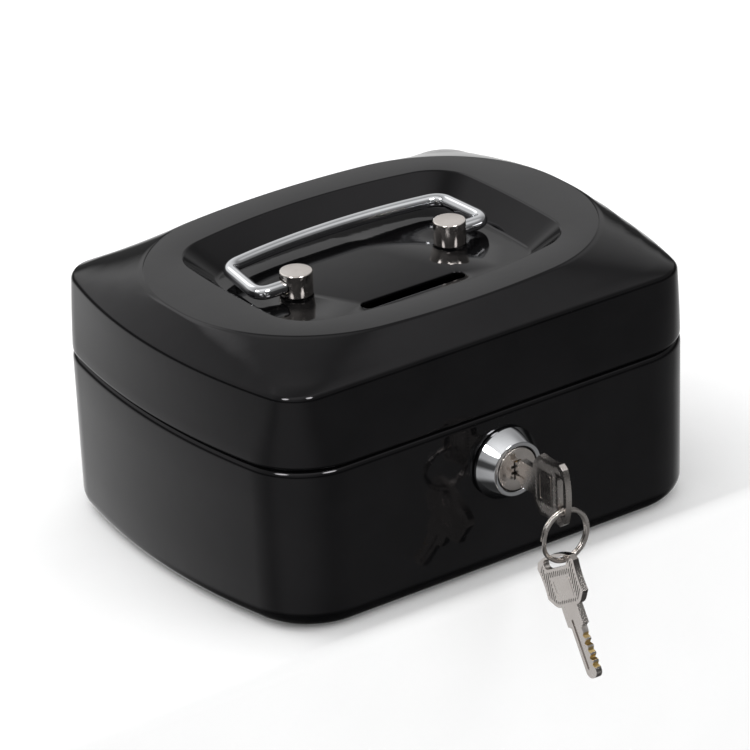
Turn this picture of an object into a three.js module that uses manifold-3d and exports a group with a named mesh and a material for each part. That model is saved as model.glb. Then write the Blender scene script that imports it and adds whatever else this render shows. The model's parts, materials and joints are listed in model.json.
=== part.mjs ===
// Small lockable steel cash box with a coin slot in its lid, a wire bail handle, a cam lock and two keys.
// Millimetres, +Z up. The origin is the centre of the base's flat underside, the lock faces -Y.
import * as THREE from "three";
import { mergeVertices } from "three/addons/utils/BufferGeometryUtils.js";
import Module from "manifold-3d";

const wasm = await Module();
wasm.setup();

// ---------------------------------------------------------------- driving dimensions
const SHEET = 1.0;               // pressed steel thickness
const GAP = 0.3;                 // clearance between pieces that bear on each other

// Plan outlines: half length, half depth, bow of the ends, bow of the long sides, corner radius.
const BODY = { a: 76, b: 59, bowEnd: 8.4, bowSide: 0.02, r: 21 };
const FOOT = { a: 75.55, b: 58.55, bowEnd: 8.4, bowSide: 0.02, r: 20.6 };
const SHOULDER = { a: 75, b: 56.5, bowEnd: 9.2, bowSide: 0.02, r: 12 };
const PLATEAU = { a: 66.4, b: 47.1, bowEnd: 7.2, bowSide: 9.9, r: 44 };
const WELL_RIM = { a: 48.7, b: 36.4, bowEnd: 2.2, bowSide: 7.3, r: 14.4 };
const WELL_FLOOR = { a: 41.0, b: 28.7, bowEnd: 1.9, bowSide: 6.2, r: 10 };
const OUTLINE_STEPS = [4, 7, 4];  // steps along the end, the corner and the side in each quarter

const FOOT_FILLET = 6;
const BASE_TOP_Z = 48.6;         // top of the base's rounded shoulder
const BASE_SHOULDER_R = 2.2;
const NECK_INSET = 2.4;          // the neck stands inside the lid
const NECK_TOP_Z = 52.0;
const LID_RIM_Z = 49.1;
const LID_SIDE_TOP_Z = 67.2;
const HIP_FOOT = { ...SHOULDER, a: 73.9, b: 55.4, r: 10.9 };  // where the slope round the plateau ends
const HIP_FOOT_Z = 70.2;
const PLATEAU_Z = 77.7;
const FLOOR_Z = 70.3;            // floor of the well that holds the handle

const SLOT_HALF = 15.0;          // coin slot: centres of its round ends
const SLOT_WIDTH = 4.4;
const SLOT_Y = -18.9;

const POST_X = 26.1;
const POST_Y = -0.4;
const POST_R = 4.65;
const POST_TOP_Z = 77.4;
const BAIL_WIRE_R = 2.0;
const BAIL_AXIS_Z = 73.6;
const BAIL_RAISE = THREE.MathUtils.degToRad(2.6);
const BAIL_SOCKET_R = 2.35;
const BAIL_SOCKET_DEPTH = 2.3;
const SCREW_R = 1.4;
const SCREW_HEAD = { r: 2.9, crownR: 2.2, depth: 1.9, recess: [1.6, 0.35], recessDepth: 0.8 };
const POST_WASHER = { r: 3.6, thickness: 0.6 };
// Half of the bail in its own plane, x outwards and then the distance from the pivot line. Three points curve.
const BAIL_ELBOW = [[34.8, 0], [38.6, 0], [38.3, 4.0]];
const BAIL_SHOULDER = [[37.0, 15.2], [36.6, 18.6], [32.6, 19.4]];
const BAIL_GRIP = [[32.6, 19.4], [16.5, 22.0], [0, 22.0]];

const HINGE_X = 38;
const HINGE_WIDTH = 30;
const HINGE_Y = 61.4;
const HINGE_Z = 49.0;
const KNUCKLE_R = 2.2;
const HINGE_BORE_R = 1.2;
const HINGE_PIN_R = 0.9;
const LEAF = 0.9;
const BASE_LEAF_LOW_Z = 37.5;
const LID_LEAF_TOP_Z = 61.0;
const RIVET_SPREAD = 9;
const RIVET_R = 1.0;
const BASE_RIVET_Z = 42.0;
const LID_RIVET_Z = 56.5;

// Distances named front, back, from and to in the lock are measured from the box centre towards the front.
const LOCK_Z = 33;
const LOCK_FACE = 65.0;
const BEZEL_R = 10.5;
const BEZEL_EDGE = { back: 0.3, front: 1.1 };   // its cylindrical edge, in front of the base's wall
const FACE_R = 7.85;
const BARREL_R = 8.0;
const BARREL_END = 46.8;
const PLUG_R = 6.3;
const PLUG_BORE_R = 6.65;
const PLUG_END = 46.6;
const PLUG_SQUARE = { half: 3.2, end: 43.9 };
const KEYWAY_END = 51.2;
const CAM = { discR: 7, reach: 21, halfWidth: 4, back: 44.3, front: 46.3, foldFront: 52, fold: 1.7 };
const CAM_WASHER = { r: 5, back: 42.9, front: 43.6 };
const CAM_SCREW = { headR: 3.2, crownR: 2.6, back: 40.9, seat: 42.6, r: 1.5, front: 49.2, bore: 1.8 };
const NUT = { r: 11.2, back: 53.5, front: 56.5 };
const LOCK_WASHER = { r: 10.6, back: 56.75, front: 57.55 };
const WAFERS = 4;
const WAFER_FIRST = 62.2;
const WAFER_PITCH = 2.4;
const WAFER = { halfWidth: 3.3, halfHeight: 5, thickness: 0.8, slot: 1.3, window: [1.35, 3.1] };

const KEY_THICKNESS = 1.9;
const KEY_HEAD_HALF = 9.3;
const KEY_HEAD_LENGTH = 14.8;
const KEY_NECK_HALF = 4.0;
const KEY_NECK_END = 21.0;
const KEY_BLADE_HALF = 2.5;
const KEY_LENGTH = 35.5;
const KEY_BITES = [[23.6, 0.7], [25.7, 1.1], [27.8, 0.6], [29.9, 1.0], [32.0, 0.8]];  // place and depth
const KEY_HOLE = { v: 2.5, half: 4.2, r: 1.4 };
const KEY_HEAD_TOP = 88.0;       // outer end of the inserted key, along -Y
const RING_AT = { u: 4.4, v: 2.3 };
const RING_R = 7.35;
const RING_WIRE_R = 0.75;
const SPARE_TILT = THREE.MathUtils.degToRad(30);

const TRAY = { floorZ: 37, flangeZ: 52.2, flange: 1.0, inset: 4.4, wall: 1.2 };
const TRAY_NOTCH = { left: -26, right: 14, back: -39.5 };
const TRAY_ROW_Y = 8;
const TRAY_BAYS = 4;
const CATCH = { half: 6.5, lipY: -48.4, lipRise: 0.4, thickness: 1.2, topZ: 62, room: 4 };

// ---------------------------------------------------------------- materials
const enamel = new THREE.MeshStandardMaterial({ color: 0x0d0d0e, roughness: 0.22, metalness: 0.1 });
const chrome = new THREE.MeshStandardMaterial({ color: 0xd9dadd, roughness: 0.08, metalness: 1.0 });
const nickel = new THREE.MeshStandardMaterial({ color: 0xb9b2a8, roughness: 0.32, metalness: 1.0 });
const zinc = new THREE.MeshStandardMaterial({ color: 0x9fa3a6, roughness: 0.45, metalness: 1.0 });
const brass = new THREE.MeshStandardMaterial({ color: 0xb08d3c, roughness: 0.35, metalness: 1.0 });
const plastic = new THREE.MeshStandardMaterial({ color: 0x17171a, roughness: 0.55, metalness: 0.0 });

const cashBox = new THREE.Group();

// ---------------------------------------------------------------- solids
function toSolid(geometry) {
  const bare = geometry.clone();
  for (const name of Object.keys(bare.attributes)) {
    if (name !== "position") {
      bare.deleteAttribute(name);
    }
  }
  const merged = mergeVertices(bare, 1e-4);
  const triVerts = [];
  for (let i = 0; i < merged.index.count; i += 3) {
    const [p, q, s] = [merged.index.getX(i), merged.index.getX(i + 1), merged.index.getX(i + 2)];
    if (p !== q && q !== s && s !== p) {
      triVerts.push(p, q, s);
    }
  }
  const vertProperties = new Float32Array(merged.attributes.position.array);
  const mesh = { numProp: 3, vertProperties, triVerts: new Uint32Array(triVerts) };
  const solid = new wasm.Manifold(new wasm.Mesh(mesh));
  if (solid.volume() > 0) {
    return solid;
  }
  mesh.triVerts.reverse();
  return new wasm.Manifold(new wasm.Mesh(mesh));
}

function toGeometry(solid) {
  const mesh = solid.getMesh();
  const geometry = new THREE.BufferGeometry();
  geometry.setAttribute("position", new THREE.BufferAttribute(new Float32Array(mesh.vertProperties), 3));
  geometry.setIndex(new THREE.BufferAttribute(new Uint32Array(mesh.triVerts), 1));
  geometry.computeVertexNormals();
  return geometry;
}

function minus(solid, ...cutters) {
  return cutters.reduce((rest, cutter) => rest.subtract(cutter), solid);
}

function place(name, solid, material, parent = cashBox) {
  const mesh = new THREE.Mesh(toGeometry(solid), material);
  mesh.name = name;
  parent.add(mesh);
  return mesh;
}

function block(x0, x1, y0, y1, z0, z1) {
  const geometry = new THREE.BoxGeometry(x1 - x0, y1 - y0, z1 - z0);
  geometry.translate((x0 + x1) / 2, (y0 + y1) / 2, (z0 + z1) / 2);
  return toSolid(geometry);
}

// A turned piece about +Z from [radius, height] pairs; a closed profile repeats its first pair.
function turned(profile, segments = 24) {
  const geometry = new THREE.LatheGeometry(profile.map(([r, z]) => new THREE.Vector2(r, z)), segments);
  geometry.rotateX(Math.PI / 2);
  return geometry;
}

function rod(r, z0, z1, segments = 16) {
  return turned([[0, z0], [r, z0], [r, z1], [0, z1]], segments);
}

// The same, lying along Y: heights become distances from the box centre towards the front.
function turnedFront(profile, segments) {
  return toSolid(turned(profile, segments).rotateX(Math.PI / 2));
}

function rodToFront(r, from, to, segments = 16) {
  return turnedFront([[0, from], [r, from], [r, to], [0, to]], segments);
}

function rodAlongX(r, x0, x1, y, z, segments = 16) {
  return toSolid(rod(r, x0, x1, segments).rotateY(Math.PI / 2).translate(0, y, z));
}

function rodAlongY(r, y0, y1, x, z, segments = 12) {
  return toSolid(rod(r, -y1, -y0, segments).rotateX(Math.PI / 2).translate(x, 0, z));
}

// A flat profile given as [y, z] pairs, extruded from x0 to x1.
function extrudedX(profile, x0, x1) {
  const shape = new THREE.Shape(profile.map(([y, z]) => new THREE.Vector2(y, z)));
  const geometry = new THREE.ExtrudeGeometry(shape, { depth: x1 - x0, bevelEnabled: false });
  geometry.rotateX(Math.PI / 2);
  geometry.rotateZ(Math.PI / 2);
  return toSolid(geometry.translate(x0, 0, 0));
}

// ---------------------------------------------------------------- bowed rounded rectangle
// The first quarter of an outline is three arcs: the shallow end, the tighter corner and the shallow long side.
// Each is a centre and a radius; joins holds the polar angles where one arc meets the next.
function quarterArcs({ a, b, bowEnd, bowSide, r }) {
  const endR = (b * b + bowEnd * bowEnd) / (2 * bowEnd);
  const sideR = (a * a + bowSide * bowSide) / (2 * bowSide);
  const end = new THREE.Vector2(a - endR, 0);
  const side = new THREE.Vector2(0, b - sideR);
  const gap = side.clone().sub(end);
  const along = ((endR - r) ** 2 - (sideR - r) ** 2 + gap.lengthSq()) / (2 * gap.length());
  const across = Math.sqrt((endR - r) ** 2 - along ** 2);
  const unit = gap.normalize();
  const corner = end.clone().addScaledVector(unit, along);
  corner.add(new THREE.Vector2(-unit.y, unit.x).multiplyScalar(across));
  const arcs = [[end, endR], [corner, r], [side, sideR]];
  const join = ([centre, radius]) => {
    const touch = corner.clone().sub(centre).setLength(radius).add(centre);
    return Math.atan2(touch.y, touch.x);
  };
  return { arcs, joins: [join(arcs[0]), join(arcs[2])] };
}

// Where a ray from the centre at a polar angle in the first quarter leaves the outline.
function edgePoint({ arcs, joins }, angle) {
  const [centre, radius] = arcs[joins.filter((join) => angle > join).length];
  const ray = new THREE.Vector2(Math.cos(angle), Math.sin(angle));
  const reach = centre.dot(ray);
  return ray.multiplyScalar(reach + Math.sqrt(reach ** 2 - centre.lengthSq() + radius ** 2));
}

// Polar angles that follow the body's own arcs, so every outline is sampled along the same rays.
function quarterAngles() {
  const { joins } = quarterArcs(BODY);
  const stops = [0, ...joins, Math.PI / 2];
  return OUTLINE_STEPS.flatMap((steps, k) => Array.from({ length: steps }, (_, i) => (
    stops[k] + ((stops[k + 1] - stops[k]) * i) / steps
  )));
}

function outlinePoints(outline) {
  const quarter = quarterArcs(outline);
  const points = quarterAngles().map((angle) => edgePoint(quarter, angle));
  const mirrored = (list, sx, sy) => list.map(({ x, y }) => [sx * x, sy * y]);
  const [top, bottom] = [[0, outline.b], [0, -outline.b]];
  return [
    ...mirrored(points, 1, 1), top, ...mirrored(points.slice(1), -1, 1).reverse(),
    ...mirrored(points, -1, -1), bottom, ...mirrored(points.slice(1), 1, -1).reverse(),
  ];
}

function inset(outline, d) {
  return { ...outline, a: outline.a - d, b: outline.b - d, r: outline.r - d };
}

function between(from, to, t) {
  const mixed = {};
  for (const key of Object.keys(from)) {
    mixed[key] = THREE.MathUtils.lerp(from[key], to[key], t);
  }
  return mixed;
}

// A skin through rings of equal point count, from a centre point at the first height to one at the last.
// It starts on a face that looks up, so every face looks out of the solid.
function loft(rings) {
  const sections = rings.map(([outline, z]) => outlinePoints(outline).map(([x, y]) => [x, y, z]));
  const count = sections[0].length;
  const last = sections.length * count;
  const position = [...sections.flat(), [0, 0, rings[0][1]], [0, 0, rings.at(-1)[1]]];
  const index = [];
  for (let i = 0; i < count; i += 1) {
    const next = (i + 1) % count;
    index.push(last, i, next);
    index.push(last + 1, last - count + next, last - count + i);
    for (let k = 0; k + 1 < sections.length; k += 1) {
      const [inner, outer] = [k * count, (k + 1) * count];
      index.push(inner + i, outer + i, outer + next, inner + i, outer + next, inner + next);
    }
  }
  const geometry = new THREE.BufferGeometry();
  geometry.setAttribute("position", new THREE.Float32BufferAttribute(position.flat(), 3));
  geometry.setIndex(index);
  return toSolid(geometry);
}

// Points of a quarter round as [inset, rise] pairs, from the flat to the wall.
function quarterRound(radius, steps) {
  return Array.from({ length: steps + 1 }, (_, i) => {
    const angle = (i / steps) * (Math.PI / 2);
    return [radius * (1 - Math.sin(angle)), radius * (1 - Math.cos(angle))];
  });
}

// ---------------------------------------------------------------- base
function baseShell() {
  const inside = quarterRound(FOOT_FILLET - SHEET, 3).map(([d, z]) => [inset(FOOT, SHEET + d), SHEET + z]);
  const outside = quarterRound(FOOT_FILLET, 4).map(([d, z]) => [inset(FOOT, d), z]).reverse();
  const shoulder = quarterRound(BASE_SHOULDER_R, 3).map(([d, z]) => [inset(BODY, d), BASE_TOP_Z - z]);
  const shell = loft([
    ...inside,
    [inset(BODY, SHEET), BASE_TOP_Z - BASE_SHOULDER_R - SHEET],
    [inset(BODY, NECK_INSET + SHEET), BASE_TOP_Z - SHEET],
    [inset(BODY, NECK_INSET + SHEET), NECK_TOP_Z],
    [inset(BODY, NECK_INSET), NECK_TOP_Z],
    [inset(BODY, NECK_INSET), BASE_TOP_Z],
    ...shoulder,
    ...outside,
  ]);
  const lockHole = rodToFront(BARREL_R + GAP, 50, BODY.b + 3, 32);
  const notchHalf = CATCH.half + CATCH.room;
  const catchNotch = block(-notchHalf, notchHalf, -BODY.b - 1, -52, BASE_TOP_Z + 0.2, NECK_TOP_Z + 2);
  return minus(shell, lockHole.translate([0, 0, LOCK_Z]), catchNotch, ...rivetHoles(BASE_RIVET_Z));
}

function rivetHoles(z) {
  const holes = [];
  for (const side of [-1, 1]) {
    for (const offset of [-RIVET_SPREAD, RIVET_SPREAD]) {
      holes.push(rodAlongY(RIVET_R + GAP, 54, 63, side * HINGE_X + offset, z));
    }
  }
  return holes;
}

// ---------------------------------------------------------------- lid
// Heights of the lid's top skin, from the middle of the well over the plateau and down the straight hip.
function lidTopRings() {
  const well = (t, rise) => [between(WELL_FLOOR, WELL_RIM, t), FLOOR_Z + rise];
  const hip = (t) => [between(HIP_FOOT, PLATEAU, t), THREE.MathUtils.lerp(HIP_FOOT_Z, PLATEAU_Z, t)];
  return [
    [inset(WELL_FLOOR, 1.0), FLOOR_Z],
    well(0.08, 0.6),
    well(0.9, 6.7),
    [inset(WELL_RIM, -0.1), PLATEAU_Z - 0.2],
    [inset(WELL_RIM, -1.1), PLATEAU_Z],
    [inset(PLATEAU, 0.9), PLATEAU_Z],
    [inset(PLATEAU, -0.1), PLATEAU_Z - 0.35],
    hip(0.88),
    hip(0.45),
  ];
}

function lidShell() {
  const top = lidTopRings();
  const under = top.map(([outline, z]) => [outline, z - SHEET]).reverse();
  const shell = loft([
    ...top,
    [HIP_FOOT, HIP_FOOT_Z],
    [inset(SHOULDER, 0.35), LID_SIDE_TOP_Z + 1.9],
    [SHOULDER, LID_SIDE_TOP_Z],
    [BODY, LID_RIM_Z + 0.9],
    [inset(BODY, 0.2), LID_RIM_Z],
    [inset(BODY, SHEET), LID_RIM_Z],
    [inset(SHOULDER, SHEET), LID_SIDE_TOP_Z],
    [inset(HIP_FOOT, 0.7), HIP_FOOT_Z - 1.1],
    ...under,
  ]);
  const slot = new THREE.Shape();
  slot.absarc(SLOT_HALF, SLOT_Y, SLOT_WIDTH / 2, -Math.PI / 2, Math.PI / 2);
  slot.absarc(-SLOT_HALF, SLOT_Y, SLOT_WIDTH / 2, Math.PI / 2, (3 * Math.PI) / 2);
  const slotOptions = { depth: 8, bevelEnabled: false, curveSegments: 10 };
  const slotCutter = new THREE.ExtrudeGeometry(slot, slotOptions).translate(0, 0, FLOOR_Z - 5);
  const screwHole = (x) => toSolid(rod(SCREW_R + GAP, FLOOR_Z - 4, FLOOR_Z + 3).translate(x, POST_Y, 0));
  return minus(shell, toSolid(slotCutter), screwHole(-POST_X), screwHole(POST_X), ...rivetHoles(LID_RIVET_Z));
}

// Outer face of the lid's straight rear wall at height z; the front wall mirrors it.
function lidWallY(z) {
  const t = (z - LID_RIM_Z - 0.9) / (LID_SIDE_TOP_Z - LID_RIM_Z - 0.9);
  return THREE.MathUtils.lerp(BODY.b, SHOULDER.b, t);
}

// Bracket welded inside the lid's front wall; its lip hangs in the neck's notch for the cam to hook over.
function latchCatch() {
  const lipLow = LID_RIM_Z + CATCH.lipRise;
  const lipTop = lipLow + CATCH.thickness;
  const face = (z) => -lidWallY(z) + SHEET + GAP;
  return extrudedX([
    [face(lipLow), lipLow],
    [CATCH.lipY, lipLow],
    [CATCH.lipY, lipTop],
    [face(lipTop) + CATCH.thickness, lipTop],
    [face(CATCH.topZ) + CATCH.thickness, CATCH.topZ],
    [face(CATCH.topZ), CATCH.topZ],
  ], -CATCH.half, CATCH.half);
}

// ---------------------------------------------------------------- hinges
// Base leaves carry the two outer knuckles, lid leaves the middle one.
function hingeLeaf(side, onLid) {
  const x0 = side * HINGE_X - HINGE_WIDTH / 2;
  const third = HINGE_WIDTH / 3;
  const near = BODY.b + 0.2;
  const reach = KNUCKLE_R + 0.5;
  const spans = onLid ? [[third, 2 * third]] : [[0, third - GAP], [2 * third + GAP, HINGE_WIDTH]];
  const lidFoot = HINGE_Z + reach;
  const lidFace = (z) => lidWallY(z) + 0.25;
  const plate = onLid
    ? [[lidFace(lidFoot), lidFoot], [lidFace(lidFoot) + LEAF, lidFoot],
      [lidFace(LID_LEAF_TOP_Z) + LEAF, LID_LEAF_TOP_Z], [lidFace(LID_LEAF_TOP_Z), LID_LEAF_TOP_Z]]
    : [[near, BASE_LEAF_LOW_Z], [near + LEAF, BASE_LEAF_LOW_Z],
      [near + LEAF, HINGE_Z - reach], [near, HINGE_Z - reach]];
  const strap = onLid
    ? [[near, HINGE_Z], [near + LEAF, HINGE_Z], [lidFace(lidFoot + 1) + LEAF, lidFoot + 1],
      [lidFace(lidFoot + 1), lidFoot + 1]]
    : [[near, HINGE_Z - reach - 1], [near + LEAF, HINGE_Z - reach - 1], [near + LEAF, HINGE_Z], [near, HINGE_Z]];
  let leaf = extrudedX(plate, x0, x0 + HINGE_WIDTH);
  for (const [from, to] of spans) {
    leaf = leaf.add(rodAlongX(KNUCKLE_R, x0 + from, x0 + to, HINGE_Y, HINGE_Z, 20));
    leaf = leaf.add(extrudedX(strap, x0 + from, x0 + to));
  }
  const bore = rodAlongX(HINGE_BORE_R, x0 - 1, x0 + HINGE_WIDTH + 1, HINGE_Y, HINGE_Z);
  const z = onLid ? LID_RIVET_Z : BASE_RIVET_Z;
  return minus(leaf, bore, ...rivetHoles(z));
}

function hingePin(side) {
  const x0 = side * HINGE_X - HINGE_WIDTH / 2;
  const head = 0.9;
  const shaft = rodAlongX(HINGE_PIN_R, x0 - head, x0 + HINGE_WIDTH + head, HINGE_Y, HINGE_Z);
  const button = (from) => rodAlongX(HINGE_PIN_R + 0.7, from, from + head - GAP, HINGE_Y, HINGE_Z);
  return shaft.add(button(x0 - head)).add(button(x0 + HINGE_WIDTH + GAP));
}

// A rivet through a leaf and the sheet behind it, whose outer face is at y = 0: tail inside, domed head outside.
function rivet() {
  const tail = -SHEET - 0.2;
  const head = 0.2 + LEAF + 0.3;
  return toSolid(turned([
    [0, tail - 0.6], [RIVET_R + 0.9, tail - 0.6], [RIVET_R + 0.9, tail], [RIVET_R, tail],
    [RIVET_R, head], [RIVET_R + 1.2, head], [RIVET_R + 0.8, head + 0.6], [0, head + 0.9],
  ], 12).rotateX(-Math.PI / 2));
}

// ---------------------------------------------------------------- handle
function handlePost(side) {
  const post = toSolid(turned([
    [0, FLOOR_Z + 0.2], [POST_R, FLOOR_Z + 0.2], [POST_R, POST_TOP_Z - 0.4],
    [POST_R - 0.4, POST_TOP_Z], [0, POST_TOP_Z],
  ], 28));
  const screwBore = toSolid(rod(SCREW_R + GAP, FLOOR_Z - 1, POST_TOP_Z - 1.6));
  const [deep, open] = [POST_R - BAIL_SOCKET_DEPTH, POST_R + 1];
  const socket = side > 0
    ? rodAlongX(BAIL_SOCKET_R, deep, open, 0, BAIL_AXIS_Z, 20)
    : rodAlongX(BAIL_SOCKET_R, -open, -deep, 0, BAIL_AXIS_Z, 20);
  return minus(post, screwBore, socket);
}

function postScrew() {
  const seat = FLOOR_Z - SHEET - GAP - POST_WASHER.thickness - 0.2;
  const crown = seat - SCREW_HEAD.depth;
  const top = POST_TOP_Z - 2.1;
  const screw = toSolid(turned([
    [0, crown], [SCREW_HEAD.crownR, crown], [SCREW_HEAD.r, crown + 0.7], [SCREW_HEAD.r, seat],
    [SCREW_R, seat], [SCREW_R, top], [0, top],
  ], 16));
  const [long, wide] = SCREW_HEAD.recess;
  const drive = (sx, sy) => block(-sx, sx, -sy, sy, crown - 1, crown + SCREW_HEAD.recessDepth);
  return minus(screw, drive(long, wide), drive(wide, long));
}

function washer(z0, z1, outer, inner) {
  return turned([[inner, z0], [outer, z0], [outer, z1], [inner, z1], [inner, z0]], 20);
}

function bail() {
  const stubX = POST_X + POST_R - BAIL_SOCKET_DEPTH + 0.25;
  const right = [
    [[stubX, 0], BAIL_ELBOW[0]],
    BAIL_ELBOW,
    [BAIL_ELBOW[2], BAIL_SHOULDER[0]],
    BAIL_SHOULDER,
    BAIL_GRIP,
  ].map((points) => points.map(([x, s]) => new THREE.Vector3(x, s, 0)));
  const flip = (v) => new THREE.Vector3(-v.x, v.y, 0);
  const left = right.map((points) => points.map(flip).reverse()).reverse();
  const path = new THREE.CurvePath();
  for (const points of [...right, ...left]) {
    const piece = points.length === 2 ? new THREE.LineCurve3(...points) : new THREE.QuadraticBezierCurve3(...points);
    path.add(piece);
  }
  const section = new THREE.Shape().absarc(0, 0, BAIL_WIRE_R, 0, 2 * Math.PI);
  const wire = new THREE.ExtrudeGeometry(section, { extrudePath: path, steps: 64, curveSegments: 5 });
  return toSolid(wire);
}

// ---------------------------------------------------------------- lock
function lockHousing() {
  const [edgeBack, edgeFront] = [BODY.b + BEZEL_EDGE.back, BODY.b + BEZEL_EDGE.front];
  return turnedFront([
    [PLUG_BORE_R, BARREL_END], [BARREL_R, BARREL_END], [BARREL_R, edgeBack], [BEZEL_R, edgeBack],
    [BEZEL_R, edgeFront], [FACE_R, LOCK_FACE - 0.3], [FACE_R - 0.3, LOCK_FACE], [PLUG_BORE_R, LOCK_FACE],
    [PLUG_BORE_R, BARREL_END],
  ], 32);
}

function lockPlug() {
  const body = rodToFront(PLUG_R, PLUG_END, LOCK_FACE, 32);
  const { half, end } = PLUG_SQUARE;
  const square = block(-half, half, -PLUG_END - 0.5, -end, -half, half);
  const [keywayX, keywayZ] = [KEY_THICKNESS / 2 + GAP, KEY_BLADE_HALF + GAP];
  const keyway = block(-keywayX, keywayX, -LOCK_FACE - 1, -KEYWAY_END, -keywayZ, keywayZ);
  const screwBore = rodToFront(CAM_SCREW.bore, end - 1, CAM_SCREW.front + 0.4);
  const [slotX, slotZ, slotY] = [WAFER.halfWidth + GAP, PLUG_R + 1, WAFER.slot / 2];
  const slots = waferDistances().map((s) => block(-slotX, slotX, -s - slotY, -s + slotY, -slotZ, slotZ));
  return minus(body.add(square), keyway, screwBore, ...slots);
}

function waferDistances() {
  return Array.from({ length: WAFERS }, (_, i) => WAFER_FIRST - i * WAFER_PITCH);
}

function wafer(distance) {
  const plate = (x, z, half) => block(-x, x, -distance - half, -distance + half, -z, z);
  const window = plate(...WAFER.window, WAFER.thickness);
  return minus(plate(WAFER.halfWidth, WAFER.halfHeight, WAFER.thickness / 2), window);
}

// Flat arm towards -X with its end folded forwards; a quarter turn brings the fold over the lid's lip.
function lockCam() {
  const { discR, reach, halfWidth, back, front, foldFront, fold } = CAM;
  const disc = rodToFront(discR, back, front, 24);
  const arm = block(-reach, 0, -front, -back, -halfWidth, halfWidth);
  const folded = block(-reach, -reach + fold, -foldFront, -back, -halfWidth, halfWidth);
  const hole = PLUG_SQUARE.half + GAP;
  return minus(disc.add(arm).add(folded), block(-hole, hole, -front - 1, -back + 1, -hole, hole));
}

function camScrew() {
  const { headR, crownR, back, seat, r, front } = CAM_SCREW;
  const crown = back + headR - crownR;
  const head = [[0, back], [crownR, back], [headR, crown], [headR, seat]];
  return turnedFront([...head, [r, seat], [r, front], [0, front]], 16);
}

function lockNut() {
  const { r, back, front } = NUT;
  return minus(rodToFront(r, back, front, 6), rodToFront(BARREL_R + GAP, back - 1, front + 1, 32));
}

function flatWasher({ r, back, front }, bore) {
  return toSolid(washer(back, front, r, bore).rotateX(Math.PI / 2));
}

// ---------------------------------------------------------------- keys and ring
// Flat key in its own plane: u across it, v from the top of the head to the tip.
function keyBlank() {
  const shape = new THREE.Shape();
  shape.moveTo(-KEY_HEAD_HALF + 1.2, 1.4);
  shape.quadraticCurveTo(0, -1.2, KEY_HEAD_HALF - 1.2, 1.4);
  shape.lineTo(KEY_HEAD_HALF, 3.0);
  shape.quadraticCurveTo(KEY_HEAD_HALF - 1.0, 7.5, KEY_HEAD_HALF - 0.3, 11.8);
  shape.lineTo(KEY_HEAD_HALF - 2.6, KEY_HEAD_LENGTH - 0.9);
  shape.quadraticCurveTo(KEY_NECK_HALF + 1.4, KEY_HEAD_LENGTH, KEY_NECK_HALF, KEY_HEAD_LENGTH);
  shape.lineTo(KEY_NECK_HALF, KEY_NECK_END - 0.6);
  shape.lineTo(KEY_BLADE_HALF, KEY_NECK_END);
  for (const [v, depth] of KEY_BITES) {
    shape.lineTo(KEY_BLADE_HALF, v - 0.8);
    shape.lineTo(KEY_BLADE_HALF - depth, v);
    shape.lineTo(KEY_BLADE_HALF, v + 0.8);
  }
  shape.lineTo(KEY_BLADE_HALF, KEY_LENGTH - 1.6);
  shape.quadraticCurveTo(KEY_BLADE_HALF - 0.6, KEY_LENGTH, 0, KEY_LENGTH);
  shape.quadraticCurveTo(-KEY_BLADE_HALF + 0.6, KEY_LENGTH, -KEY_BLADE_HALF, KEY_LENGTH - 1.6);
  shape.lineTo(-KEY_BLADE_HALF, KEY_NECK_END);
  shape.lineTo(-KEY_NECK_HALF, KEY_NECK_END - 0.6);
  shape.lineTo(-KEY_NECK_HALF, KEY_HEAD_LENGTH);
  shape.quadraticCurveTo(-KEY_NECK_HALF - 1.4, KEY_HEAD_LENGTH, -KEY_HEAD_HALF + 2.6, KEY_HEAD_LENGTH - 0.9);
  shape.lineTo(-KEY_HEAD_HALF + 0.3, 11.8);
  shape.quadraticCurveTo(-KEY_HEAD_HALF + 1.0, 7.5, -KEY_HEAD_HALF, 3.0);
  shape.closePath();
  const hole = new THREE.Path();
  hole.absarc(KEY_HOLE.half, KEY_HOLE.v, KEY_HOLE.r, -Math.PI / 2, Math.PI / 2);
  hole.absarc(-KEY_HOLE.half, KEY_HOLE.v, KEY_HOLE.r, Math.PI / 2, (3 * Math.PI) / 2);
  shape.holes.push(hole);
  const options = { depth: KEY_THICKNESS, bevelEnabled: false, curveSegments: 6 };
  return toSolid(new THREE.ExtrudeGeometry(shape, options).translate(0, 0, -KEY_THICKNESS / 2));
}

function splitRing() {
  const profile = Array.from({ length: 11 }, (_, i) => {
    const angle = (i % 10) * (Math.PI / 5);
    return [RING_R + RING_WIRE_R * Math.cos(angle), RING_WIRE_R * Math.sin(angle)];
  });
  return toSolid(turned(profile, 36).rotateX(Math.PI / 2));
}

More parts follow.
